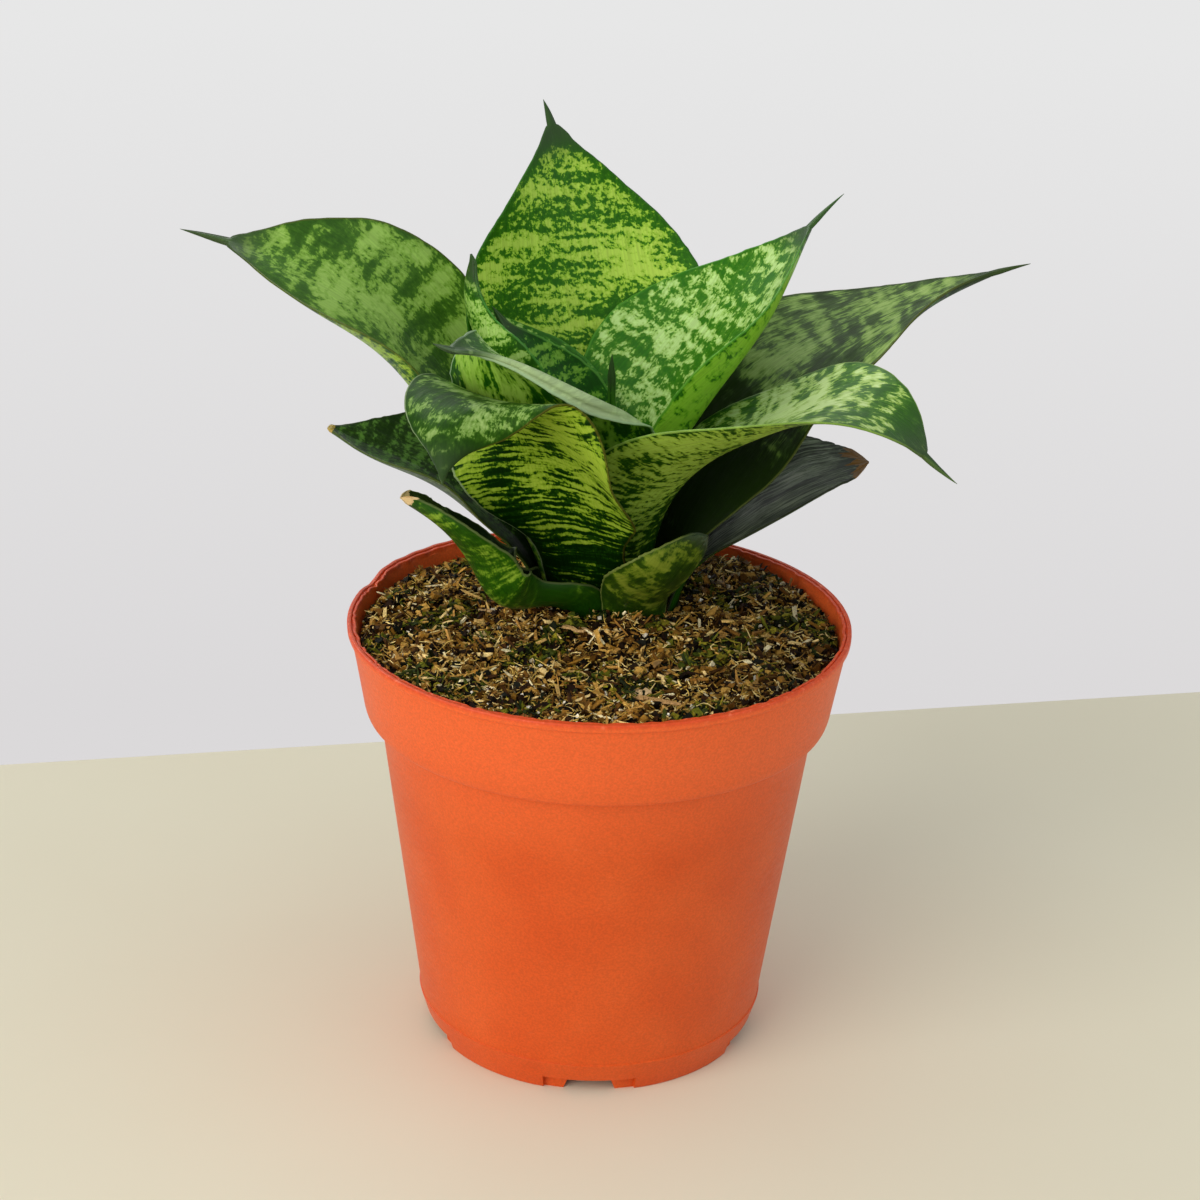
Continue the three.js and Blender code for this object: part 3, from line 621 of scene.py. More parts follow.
def leafMaterial(name, leaf):
    # living leaf under a wax cuticle: a satin skin with soft highlights drawn out along the veins,
    # and a duller wax on the leaves that have a shine of their own
    material, tree, shader = newMaterial("waxyLeaf_" + name, {
        "Roughness": 0.4, "IOR": 1.45, "Specular IOR Level": leaf.get("shine", 0.15),
        "Coat Weight": 0.0 if "shine" in leaf else 0.06, "Coat Roughness": 0.2, "Coat IOR": 1.4})
    place = addNode(tree, "Attribute", {"attribute_name": "bladePlace"}).outputs["Vector"]
    share = addNode(tree, "Attribute", {"attribute_name": "bladeShare"}).outputs["Vector"]
    fromEdge, s, face = addNode(tree, "SeparateXYZ", {}, {0: share}).outputs
    across = addNode(tree, "SeparateXYZ", {}, {0: place}).outputs[0]

    bias = coverBias(tree, leaf, s, fromEdge)
    inner = facePattern(tree, place, leaf["inner"], bias)
    other = addNode(tree, "VectorMath", {"operation": "ADD", 1: (63, 41, 7)}, {0: place})
    # painted shade along the fold, on the outer face only
    if "foldShade" in leaf:
        bias = foldShadeBias(tree, leaf["foldShade"], across, bias)
    outer = facePattern(tree, other, leaf["outer"], bias)
    # a painted highlight along the rolled margin, over its paler face
    if "rim" in leaf:
        inner = paleSheenStrip(tree, leaf["rim"], inner, fromEdge, across, s)
    side = addNode(tree, "Math", {"operation": "GREATER_THAN", 1: 0.5}, {0: face})
    faces = addNode(tree, "Mix", colourMix, {0: side, 6: inner, 7: outer})

    # veins: fine lines along the blade, under half a millimetre apart
    veinPlace = addNode(tree, "VectorMath", {"operation": "MULTIPLY", 1: (1 / 0.42, 1 / 14, 1)}, {0: place})
    vein = addNode(tree, "TexNoise", {"Scale": 1, "Detail": 2}, {"Vector": veinPlace})
    veinShade = addNode(tree, "MapRange", {1: 0.3, 2: 0.7, 3: 0.86, 4: 1.12}, {0: vein})
    veined = addNode(tree, "Mix", colourProduct, {6: faces, 7: veinShade})

    # the margin's hard line, 0.3 mm wide, of one colour on each side of the blade
    sideOfRib = addNode(tree, "Math", {"operation": "GREATER_THAN", 1: 0}, {0: across})
    rightColour, leftColour = linearColour(leaf["edge"]), linearColour(leaf.get("edgeLeft", leaf["edge"]))
    marginColour = addNode(tree, "Mix", colourMix | {6: rightColour, 7: leftColour}, {0: sideOfRib})
    line = addNode(tree, "MapRange", smoothStep | {1: 0.1, 2: 0.42, 3: 0.8, 4: 0}, {0: fromEdge})
    edged = addNode(tree, "Mix", colourMix, {0: line, 6: veined, 7: marginColour})
    tipColour, corkMm = leaf.get("callus", ("#34482a", 0))
    atTip = tipShare(tree, corkMm, leaf, place, s)
    tipped = addNode(tree, "Mix", colourMix | {7: linearColour(tipColour)}, {0: atTip, 6: edged})

    # the wax is uneven, so the gloss breaks up into patches a few millimetres wide
    waxPlace = addNode(tree, "VectorMath", {"operation": "MULTIPLY", 1: (1 / 1.6, 1 / 6, 1)}, {0: place})
    wax = addNode(tree, "TexNoise", {"Scale": 1, "Detail": 3}, {"Vector": waxPlace})
    gloss = addNode(tree, "MapRange", {1: 0.35, 2: 0.65, 3: 0.3, 4: 0.46}, {0: wax})
    bump = addNode(tree, "Bump", {"Strength": 0.5, "Distance": 0.00012}, {"Height": vein})
    swell = addNode(tree, "Bump", {"Strength": 0.35, "Distance": 0.0004}, {"Height": wax, "Normal": bump})
    linkInto(tree, shader, {"Base Color": tipped, "Roughness": gloss, "Normal": swell})
    return material


for number, (name, leaf) in enumerate(leaves.items(), 1):
    leafMesh(name, leaf, number)
print("leaves grown:", len(leaves))

# pot: injection-moulded polypropylene; its profile, (radius, height, fillet), runs from the middle of the
# underside round to the middle of the floor
pot = {
    "sides": 360, "seed": 21, "longest": 6, "sharp": 38, "lipFrom": 88, "lipHigh": 8,
    "sway": 0.3, "swayTurn": 40,
    "flash": 0.16, "flashSteps": 301, "flashAbove": 95, "flashWithin": 52.95, "flashDown": 1.2,
    # the rim is bent outwards and up at the back left, and pushed in beside that, at directions in degrees
    "bend": {"from": 114, "ramp": 14, "to": 151, "fall": 9, "out": 0.7, "up": 0.35, "upFrom": 51.5,
             "upRamp": 2.5, "dent": 162, "dentWide": 3.2, "in": 0.2, "down": 0.5},
    "profile": [
        (0, 0, 0), (18.5, 0, 0.4), (22, 3, 0.5), (34.5, 3, 0.3), (34.9, 0, 0.3), (36.2, 0, 0.3),
        (38.42, 7.25, 0.1), (38.52, 7.6, 0.1), (38.2, 7.72, 0.08), (47.35, 75.85, 0.35), (50.1, 76.1, 0.9),
        (50.6, 77.6, 1.0), (53.3, 93.6, 0.3), (53.35, 94.1, 0.15), (54, 94.35, 0.3), (54, 96, 0.6),
        (53.1, 96, 0.15), (53, 95.55, 0.1), (52.8, 95.55, 0.1), (52.75, 95.95, 0.15), (52.15, 95.95, 0.25),
        (52.1, 94.6, 0.5), (49.4, 77.9, 0.8), (46.1, 77.3, 0.8), (37.1, 7.9, 0.8), (35.2, 4.2, 0.6),
        (23, 4.2, 0.5), (19.5, 1.2, 0.5), (0, 1.2, 0)],
}
# notches through the foot ring and slots through the floor, cut by blocks that reach past what they cut
notch = {"count": 5, "start": -89, "width": 20, "height": 3.2, "depth": 0.8, "top": 9, "bottom": 12,
         "slotHeight": 2.6, "ring": 36.2, "inner": 33, "outer": 42, "low": -1}
drain = {"inner": 25, "outer": 31.5, "width": 4, "low": 1.6, "top": 5.6}


def filleted(corners, steps=5):
    points = []
    for i, (r, z, fillet) in enumerate(corners):
        here = np.array([r, z])
        if not fillet:
            points.append(here)
            continue
        before = np.array(corners[i - 1][:2]) - here
        after = np.array(corners[i + 1][:2]) - here
        room = min(fillet, np.linalg.norm(before) * 0.45, np.linalg.norm(after) * 0.45)
        a = here + before / np.linalg.norm(before) * room
        b = here + after / np.linalg.norm(after) * room
        for t in np.linspace(0, 1, steps):
            points.append(a * (1 - t) ** 2 + here * 2 * t * (1 - t) + b * t * t)
    return np.array(points)


def splitLong(profile, longest):
    points = [profile[0]]
    for a, b in zip(profile, profile[1:]):
        pieces = max(1, math.ceil(np.linalg.norm(b - a) / longest))
        points += [a + (b - a) * k / pieces for k in range(1, pieces + 1)]
    return np.array(points)


def latheMesh(profile, sides):
    # one ring of points for each profile point, and a single point where it meets the axis
    angles = np.arange(sides) / sides * 2 * math.pi
    points = []
    rings = []
    for r, z in profile:
        first = len(points)
        if r < 1e-6:
            points.append((0, 0, z))
            rings.append([first] * sides)
        else:
            points += [(r * math.cos(a), r * math.sin(a), z) for a in angles]
            rings.append(list(range(first, first + sides)))
    faces = []
    for low, high in zip(rings, rings[1:]):
        for k in range(sides):
            n = (k + 1) % sides
            face = [low[k], low[n], high[n], high[k]]
            faces.append(tuple(dict.fromkeys(face)))
    return np.array(points), outwardFaces(points, [f for f in faces if len(f) > 2])


def cutterBlock(inner, outer, lowWidth, topWidth, low, top, turnDegrees):
    points = []
    turn = math.radians(turnDegrees)
    for r in (inner, outer):
        for half, z in ((-lowWidth / 2, low), (lowWidth / 2, low), (topWidth / 2, top), (-topWidth / 2, top)):
            x = r * math.cos(turn) - half * math.sin(turn)
            points.append((x, r * math.sin(turn) + half * math.cos(turn), z))
    faces = [(0, 1, 2, 3), (7, 6, 5, 4), (0, 4, 5, 1), (1, 5, 6, 2), (2, 6, 7, 3), (3, 7, 4, 0)]
    return points, outwardFaces(points, faces)


def cutterArc(inner, outer, widthDegrees, low, top, turnDegrees, steps=10):
    points = []
    for k in range(steps + 1):
        turn = math.radians(turnDegrees + widthDegrees * (k / steps - 0.5))
        points += [(r * math.cos(turn), r * math.sin(turn), z)
                   for r, z in ((inner, low), (outer, low), (outer, top), (inner, top))]
    faces = [(0, 1, 2, 3), tuple(steps * 4 + i for i in (3, 2, 1, 0))]
    for k in range(steps):
        for i in range(4):
            n = (i + 1) % 4
            faces.append((k * 4 + i, k * 4 + 4 + i, k * 4 + 4 + n, k * 4 + n))
    return points, outwardFaces(points, faces)


def cutPiece(piece, cutters):
    tools = []
    for number, (points, faces) in enumerate(cutters):
        tools.append(meshPiece("cutter%d" % number, points, faces, [], smooth=False))
        cut = piece.modifiers.new("cut", "BOOLEAN")
        cut.operation = "DIFFERENCE"
        cut.solver = "EXACT"
        cut.object = tools[-1]
    bpy.context.view_layer.update()
    shaped = bpy.data.meshes.new_from_object(piece.evaluated_get(bpy.context.evaluated_depsgraph_get()))
    piece.modifiers.clear()
    piece.data = shaped
    for tool in tools:
        bpy.data.meshes.remove(tool.data)


def potMaterial():
    # moulded polypropylene: a satin orange skin with fine grey specks, faint scuffs, a redder worn lip and
    # painted light on the collar
    material, tree, shader = newMaterial("mouldedPolypropylene", {
        "Roughness": 0.42, "IOR": 1.49, "Specular IOR Level": 0.3, "Subsurface Weight": 0.05,
        "Subsurface Radius": (1.0, 0.35, 0.12), "Subsurface Scale": 0.0012})
    inMm = placeInMm(tree)
    cloud = addNode(tree, "TexNoise", {"Scale": 1 / 18, "Detail": 2}, {"Vector": inMm})
    base = addNode(tree, "ValToRGB", {}, {0: cloud})
    paintRamp(base, [(0.3, "#d04f14"), (0.5, "#d45419"), (0.7, "#d8591e")])
    height = addNode(tree, "SeparateXYZ", {}, {0: inMm}).outputs[2]
    # painted light: the collar is painted paler than the body below it
    collarLight = addNode(tree, "MapRange", {1: 60, 2: 84, 3: 0, 4: 1}, {0: height})
    collarLit = addNode(tree, "Mix", colourMix | {7: linearColour("#e7622a")}, {0: collarLight, 6: base})
    speck = addNode(tree, "TexNoise", {"Scale": 1 / 0.5, "Detail": 2, "Roughness": 0.6}, {"Vector": inMm})
    speckShade = addNode(tree, "MapRange", {1: 0.35, 2: 0.65, 3: 0.91, 4: 1.09}, {0: speck})
    speckled = addNode(tree, "Mix", colourProduct, {6: collarLit, 7: speckShade})
    # short scuffs that run round the wall, under a millimetre high
    scuffPlace = addNode(tree, "VectorMath", {"operation": "MULTIPLY", 1: (1 / 3, 1 / 3, 1 / 0.5)}, {0: inMm})
    scuff = addNode(tree, "TexNoise", {"Scale": 1, "Detail": 4, "Roughness": 0.7}, {"Vector": scuffPlace})
    dust = addNode(tree, "MapRange", {1: 0.63, 2: 0.8, 3: 0, 4: 0.4}, {0: scuff})
    dusty = addNode(tree, "Mix", colourMix | {7: linearColour("#e8926c")}, {0: dust, 6: speckled})
    # the thin lip is handled most: redder, with pale nicks
    onLip = addNode(tree, "MapRange", {1: 94.9, 2: 95.7, 3: 0, 4: 0.75}, {0: height})
    nick = addNode(tree, "TexNoise", {"Scale": 1 / 1.3, "Detail": 4, "Roughness": 0.7}, {"Vector": inMm})
    lipColour = addNode(tree, "ValToRGB", {}, {0: nick})
    paintRamp(lipColour, [(0.38, "#c93c14"), (0.58, "#de4c20"), (0.7, "#ee8260")])
    lipped = addNode(tree, "Mix", colourMix, {0: onLip, 6: dusty, 7: lipColour})
    rough = addNode(tree, "MapRange", {1: 0.3, 2: 0.7, 3: 0.36, 4: 0.52}, {0: scuff})
    bump = addNode(tree, "Bump", {"Strength": 0.15, "Distance": 0.0001}, {"Height": speck})
    linkInto(tree, shader, {"Base Color": lipped, "Roughness": rough, "Normal": bump})
    return material


def smoothRamp(value):
    value = np.clip(value, 0, 1)
    return value * value * (3 - 2 * value)


def makePot():
    profile = splitLong(filleted(pot["profile"]), pot["longest"])
    points, faces = latheMesh(profile, pot["sides"])
    rng = np.random.default_rng(pot["seed"])
    angle = np.degrees(np.arctan2(points[:, 1], points[:, 0]))
    onLip = np.clip((points[:, 2] - pot["lipFrom"]) / pot["lipHigh"], 0, 1) ** 2
    # the thin wall isn't quite round
    radius = np.hypot(points[:, 0], points[:, 1])
    shift = pot["sway"] * np.sin(np.radians(angle * 2 + pot["swayTurn"])) * onLip
    bend = pot["bend"]
    bent = smoothRamp((angle - bend["from"]) / bend["ramp"])
    bent = bent * (1 - smoothRamp((angle - bend["to"]) / bend["fall"]))
    bent = bent * (1 + 0.12 * np.sin(angle * 0.9)) * onLip
    dented = np.exp(-((angle - bend["dent"]) / bend["dentWide"]) ** 2) * onLip
    shift += bent * bend["out"] - dented * bend["in"]
    # moulding flash and small nicks on the inner edge of the lip
    inner = (points[:, 2] > pot["flashAbove"]) & (radius < pot["flashWithin"])
    steps = pot["flashSteps"]
    flash = np.interp(angle, np.linspace(-180, 180, steps), rng.normal(size=steps)) * pot["flash"]
    shift += np.where(inner, flash, 0.1 * flash * onLip)
    points[:, :2] *= (1 + shift / np.maximum(radius, 1))[:, None]
    onRim = np.clip((radius - bend["upFrom"]) / bend["upRamp"], 0, 1)
    points[:, 2] += bent * bend["up"] * onRim - dented * bend["down"]
    points[:, 2] -= np.where(inner, np.abs(flash) * pot["flashDown"], 0)
    piece = meshPiece("pot_shell", points, faces, [potMaterial()], "pot", "pot")
    cutPot(piece)
    piece.data.set_sharp_from_angle(angle=math.radians(pot["sharp"]))


def cutPot(piece):
    cutters = []
    wide = math.degrees(notch["width"] / notch["ring"])
    for k in range(notch["count"]):
        turn = notch["start"] + 360 / notch["count"] * k
        cutters.append(cutterArc(notch["ring"] - notch["depth"], notch["outer"], wide, notch["low"],
                                 notch["height"], turn))
        cutters.append(cutterBlock(notch["inner"], notch["outer"], notch["bottom"], notch["top"],
                                   notch["low"], notch["slotHeight"], turn))
        cutters.append(cutterBlock(drain["inner"], drain["outer"], drain["width"], drain["width"],
                                   drain["low"], drain["top"], turn))
    cutPiece(piece, cutters)


makePot()
print("pot moulded")

# soil: peat with bark chips, splinters and fibres, all one loose body in the pot
soil = {
    "level": 92.2, "mound": 0.9, "moundRadius": 54, "bump": 1.2, "radius": 51.7, "keepWithin": 51.3,
    "wallFrom": 47.5, "wallRamp": 4.2, "wallDip": 1.3, "holeRadius": 21.5, "holeBottom": 83.2,
    "sides": 300, "rings": 70, "crownFloor": 93.2, "footClear": 1.1, "feetBelow": 95.5, "seed": 8300,
    # down the inside of the pot: (radius, height)
    "lining": [(48.9, 77.5), (45.8, 76.9), (36.8, 8), (34.9, 4.6), (22.9, 4.6), (19.3, 1.6)],
    # pushed up against the front of the plant, from one direction round to another, in degrees
    "bank": {"from": 214, "to": 322, "soft": 30, "height": 4.4, "spread": 6.5},
    "clods": 330, "clodSpread": (0.9, 3.0), "clodHeight": (0.45, 0.85),
    # the last entry paints shade on the soil towards the right
    "ground": "#1c1107", "shadeToRight": {"from": 6, "ramp": 34, "loss": 0.42},
}
palettes = {
    "peat": ["#241204", "#3e2408", "#664312", "#9c6f28", "#cc9e4c"],
    "bark": ["#96692c", "#c09048", "#e2b96c", "#f8d890", "#fff0c0"],
    "straw": ["#b08a38", "#d6b45a", "#f6dc92", "#86642a", "#584018"],
    "algae": ["#2c3610", "#454e12", "#6a6c18", "#181e08", "#948a24"],
    "burnt": ["#120904", "#1f1206", "#12130a"],
    "white": ["#e6dcc4", "#f6efdc", "#c4b696"],
}
# loose fragments: how many, their least size and how much more a rare one has, how uneven and tipped they
# are, how far over the soil they lie, and the shares that are painted from another palette
crumb = {"count": 17000, "least": 0.35, "more": 1.5, "rare": 4, "uneven": (0.45, 1.3), "tilt": 40,
         "low": -0.25, "lift": 1.1, "burnt": 0.32}
chip = {"count": 3600, "least": 1.0, "more": 5.0, "rare": 2.6, "uneven": (0.55, 1.25), "tilt": 26,
        "low": 0.3, "lift": 1.0, "narrowest": 0.2, "width": (0.03, 0.18), "thick": (0.2, 0.6),
        "brown": 0.55, "green": 0.75}
fibre = {"count": 8000, "least": 1.0, "more": 4.2, "rare": 3, "joints": 5, "curl": 1.8, "slope": 0.35,
         "waver": 0.25, "low": 0.45, "lift": 0.95, "radius": 0.07, "moreRadius": 0.09, "green": 0.7}
grain = {"count": 220, "least": 0.3, "more": 0.6, "rare": 3, "uneven": (0.7, 1.2), "tilt": 40,
         "low": 0.75, "lift": 0.4}
thinning = 1

# the largest pieces of bark: middle x and y, length, width, direction, how far it tips, and colour
largeChips = [
    (10.9, -37.8, 13.3, 1.9, -24, 4, "#b98f5c"),
    (-6.9, -8.6, 9.4, 1.5, -42, 6, "#c8a06a"),
    (-2.0, -9.4, 6.6, 1.2, -41, -5, "#d3ae7a"),
    (12.4, -20.2, 9.5, 1.7, -99, 12, "#a17c4c"),
    (16.6, -20.9, 11.5, 1.8, -113, 8, "#9b7748"),
    (-16.2, -41.5, 8.7, 3.6, -50, 8, "#b5703a"),
    (25.9, 23.5, 7.8, 1.7, -70, 18, "#a8834f"),
    (22.5, 20.6, 8.5, 1.2, -82, 10, "#8f6c3d"),
    (34.3, 16.6, 9.6, 1.3, -24, 5, "#8d7a34"),
    (-38.1, 3.2, 6.5, 1.3, -77, 14, "#b8935f"),
    (-23.6, 5.6, 6.0, 1.2, -16, 3, "#c7a371"),
    (-7.0, -38.3, 8.5, 2.2, -95, 10, "#1c1a12"),
    (8.6, -34.5, 4.6, 3.2, 12, 6, "#d2b184"),
    (42.0, -14.0, 5.6, 1.5, -58, 8, "#caa877"),
]
# a large chip is a long box of rings, each with these corners: (across, up)
chipRings = 7
chipCorners = ((1, 0.2), (0.5, 1), (-0.4, 0.8), (-1, -0.1), (0, -1))

cube = np.array([(x, y, z) for z in (-1, 1) for y in (-1, 1) for x in (-1, 1)], float) / 2
cubeFaces = [(0, 2, 3, 1), (4, 5, 7, 6), (0, 1, 5, 4), (2, 6, 7, 3), (0, 4, 6, 2), (1, 3, 7, 5)]


def placeClods():
    # clods of peat: middle, spread and height of each
    rng = np.random.default_rng(soil["seed"] + 1)
    count = soil["clods"]
    r = soil["radius"] * np.sqrt(rng.random(count))
    a = rng.random(count) * 2 * math.pi
    spread = rng.uniform(*soil["clodSpread"], count)
    height = spread * rng.uniform(*soil["clodHeight"], count)
    return np.stack([r * np.cos(a), r * np.sin(a), spread, height], 1)


clods = placeClods()


def fromCrown(x, y):
    return np.hypot(x - crown["x"], y - crown["y"])


def soilHeight(x, y):
    x, y = np.asarray(x, float), np.asarray(y, float)
    away = fromCrown(x, y)
    swell = np.sin(x * 0.41 + 1.3) * np.cos(y * 0.37) + 0.6 * np.sin(x * 0.83 - y * 0.71 + 2.1)
    apart = (x[..., None] - clods[:, 0]) ** 2 + (y[..., None] - clods[:, 1]) ** 2
    lumpy = (clods[:, 3] * np.exp(-(apart / 2 / clods[:, 2] ** 2) ** 2)).max(-1)
    wall = np.clip((np.hypot(x, y) - soil["wallFrom"]) / soil["wallRamp"], 0, 1) ** 2
    bank = soil["bank"]
    side = np.degrees(np.arctan2(y - crown["y"], x - crown["x"])) % 360
    banked = smoothRamp((side - bank["from"]) / bank["soft"]) * smoothRamp((bank["to"] - side) / bank["soft"])
    banked = banked * bank["height"] * np.exp(-((away - soil["holeRadius"]) / bank["spread"]) ** 2)
    return (soil["level"] + soil["mound"] * np.maximum(0, 1 - away / soil["moundRadius"]) + banked
            + (soil["bump"] * 0.4 * swell + lumpy) * (1 - wall) - soil["wallDip"] * wall)


def soilBody():
    # rings that run from the hole round the crown out to the pot's wall, and down its inside
    sides = soil["sides"]
    angles = np.arange(sides) / sides * 2 * math.pi
    unit = np.stack([np.cos(angles), np.sin(angles)], 1)
    hole = np.array([crown["x"], crown["y"]]) + unit * soil["holeRadius"]
    wall = unit * soil["radius"]
    rings = [np.column_stack([hole, np.full(sides, soil["holeBottom"])])]
    for t in np.linspace(0, 1, soil["rings"]):
        flat = hole * (1 - t) + wall * t
        rings.append(np.column_stack([flat, soilHeight(flat[:, 0], flat[:, 1])]))
    for r, z in soil["lining"]:
        rings.append(np.column_stack([unit * r, np.full(sides, z)]))
    points = np.concatenate(rings).tolist()
    faces = ringWalls(len(rings), sides)
    for base, ring in ((0, rings[0]), ((len(rings) - 1) * sides, rings[-1])):
        middle = len(points)
        points.append(ring.mean(0).tolist())
        for k in range(sides):
            n = (k + 1) % sides
            faces.append((middle, base + n, base + k) if base == 0 else (middle, base + k, base + n))
    return points, outwardFaces(points, faces)


def pickColours(rng, name, count):
    table = np.array([linearColour(colour) for colour in palettes[name]])
    picked = table[rng.integers(0, len(table), count)]
    picked[:, :3] *= rng.uniform(0.75, 1.25, (count, 1))
    return picked


def repaint(rng, colours, where, name):
    colours[where] = pickColours(rng, name, int(where.sum()))


def scatterSpots(rng, count, footDistance):
    # over the soil, or between the leaf feet down to the crown's top
    spots = np.zeros((0, 3))
    while len(spots) < count:
        r = soil["radius"] * np.sqrt(rng.random(count))
        a = rng.random(count) * 2 * math.pi
        x, y = r * np.cos(a), r * np.sin(a)
        z = soilHeight(x, y)
        overCrown = fromCrown(x, y) < soil["holeRadius"] + 1
        low = soil["crownFloor"]
        z[overCrown] = low + (z[overCrown] - low) * rng.random(overCrown.sum()) ** 0.5
        places = np.stack([x, y, z], 1)
        clear = [not over or footDistance(*spot) > soil["footClear"] for over, spot in zip(overCrown, places)]
        spots = np.concatenate([spots, places[clear]])
    return spots[:count]


def scatter(rng, kind, footDistance):
    # places for one kind of fragment, and a size for each: mostly small, and a few large
    count = kind["count"] // thinning
    spots = scatterSpots(rng, count, footDistance)
    return spots, kind["least"] + kind["more"] * rng.random(count) ** kind["rare"]


def raiseSpots(rng, kind, spots):
    spots[:, 2] += rng.random(len(spots)) * kind["lift"] + kind["low"]


def roomFor(spots, length, short):
    # only short pieces beside the wall and among the leaf feet
    inside = np.hypot(spots[:, 0], spots[:, 1]) + length / 2 < soil["radius"] + 0.1
    nearCrown = fromCrown(spots[:, 0], spots[:, 1]) < soil["holeRadius"] + 2
    return np.where(inside & ~nearCrown, length, short)


def algaeHere(rng, spots):
    # green grows in patches, with ragged borders
    x, y = spots[:, 0], spots[:, 1]
    patch = np.sin(x * 0.16 + 0.8) * np.cos(y * 0.19 - 0.5) + 0.6 * np.sin(x * 0.35 - y * 0.28 + 1.7)
    return patch + rng.normal(0, 0.35, len(spots)) > 0.45


def turnMatrices(rng, count, tiltDegrees):
    # any heading, and a small tilt off the level
    heading = rng.random(count) * 2 * math.pi
    tilt = np.radians(rng.normal(0, tiltDegrees, count))
    twist = rng.random(count) * 2 * math.pi
    ch, sh, ct, st = np.cos(heading), np.sin(heading), np.cos(tilt), np.sin(tilt)
    cw, sw = np.cos(twist), np.sin(twist)
    zero, one = np.zeros(count), np.ones(count)
    spin = np.stack([ch, -sh, zero, sh, ch, zero, zero, zero, one], 1).reshape(-1, 3, 3)
    dip = np.stack([ct, zero, st, zero, one, zero, -st, zero, ct], 1).reshape(-1, 3, 3)
    flip = np.stack([one, zero, zero, zero, cw, -sw, zero, sw, cw], 1).reshape(-1, 3, 3)
    return spin @ dip @ flip


def tumbledBoxes(rng, kind, sizes):
    # a box for each size, with its corners pushed about, turned any way
    corners = cube[None] * rng.uniform(*kind["uneven"], (len(sizes), 8, 3)) * sizes[:, None]
    return np.einsum("nij,nkj->nki", turnMatrices(rng, len(sizes), kind["tilt"]), corners)


def crumbs(rng, footDistance):
    spots, size = scatter(rng, crumb, footDistance)
    shapes = tumbledBoxes(rng, crumb, size[:, None])
    raiseSpots(rng, crumb, spots)
    colours = pickColours(rng, "peat", len(spots))
    repaint(rng, colours, algaeHere(rng, spots), "algae")
    repaint(rng, colours, rng.random(len(spots)) < crumb["burnt"], "burnt")
    return shapes + spots[:, None], cubeFaces, colours


def chipsAndSplinters(rng, footDistance):
    # narrow, and tipped every way
    spots, length = scatter(rng, chip, footDistance)
    n = len(spots)
    length = roomFor(spots, length, chip["least"])
    width = chip["narrowest"] + length * rng.uniform(*chip["width"], n)
    thick = rng.uniform(*chip["thick"], n)
    shapes = tumbledBoxes(rng, chip, np.stack([length, width, thick], 1))
    raiseSpots(rng, chip, spots)
    colours = pickColours(rng, "bark", n)
    repaint(rng, colours, rng.random(n) < chip["brown"], "peat")
    repaint(rng, colours, algaeHere(rng, spots) & (rng.random(n) < chip["green"]), "algae")
    return shapes + spots[:, None], cubeFaces, colours


def fibres(rng, footDistance):
    # curled strands with a few joints, three-sided and mostly short
    spots, length = scatter(rng, fibre, footDistance)
    n = len(spots)
    length = roomFor(spots, length, fibre["least"])
    heading = rng.random(n) * 2 * math.pi
    curl = rng.normal(0, fibre["curl"], n)
    slope = rng.normal(0, fibre["slope"], n)
    upward = np.array([0, 0, 1.0])
    last = fibre["joints"] - 1
    corners = []
    here = np.zeros((n, 3))
    for k in range(last + 1):
        turn = heading + curl * (k / last - 0.5)
        direction = np.stack([np.cos(turn), np.sin(turn), slope + rng.normal(0, fibre["waver"], n)], 1)
        across = np.stack([-np.sin(turn), np.cos(turn), np.zeros(n)], 1)
        radius = (fibre["radius"] + fibre["moreRadius"] * rng.random(n))[:, None]
        radius = radius * (0.5 if k in (0, last) else 1)
        corners += [here + across * radius, here - across * radius, here + upward * radius * 1.5]
        here = here + direction * (length / last)[:, None]
    shapes = np.stack(corners, 1)
    shapes -= shapes.mean(1, keepdims=True)
    raiseSpots(rng, fibre, spots)
    colours = pickColours(rng, "straw", n)
    repaint(rng, colours, algaeHere(rng, spots) & (rng.random(n) < fibre["green"]), "algae")
    return shapes + spots[:, None], ringWalls(fibre["joints"], 3), colours


def whiteGrains(rng, footDistance):
    # a few grains of lime and sand
    spots, size = scatter(rng, grain, footDistance)
    shapes = tumbledBoxes(rng, grain, size[:, None])
    raiseSpots(rng, grain, spots)
    return shapes + spots[:, None], cubeFaces, pickColours(rng, "white", len(spots))


def addFragments(store, shapes, faces, colours):
    # shapes is (count, points, 3); every fragment has the same faces, and none reaches into the pot's wall
    count, size = shapes.shape[:2]
    inside = np.minimum(1, soil["keepWithin"] / np.maximum(np.hypot(shapes[..., 0], shapes[..., 1]), 1))
    shapes = shapes * np.stack([inside, inside, np.ones_like(inside)], -1)
    first = store["count"]
    store["points"].append(shapes.reshape(-1, 3))
    store["colours"].append(np.repeat(colours, size, axis=0))
    table = np.asarray(faces)
    offsets = first + np.arange(count)[:, None, None] * size
    store["faces"] += [tuple(row) for row in (table[None] + offsets).reshape(-1, table.shape[1]).tolist()]
    store["count"] += count * size


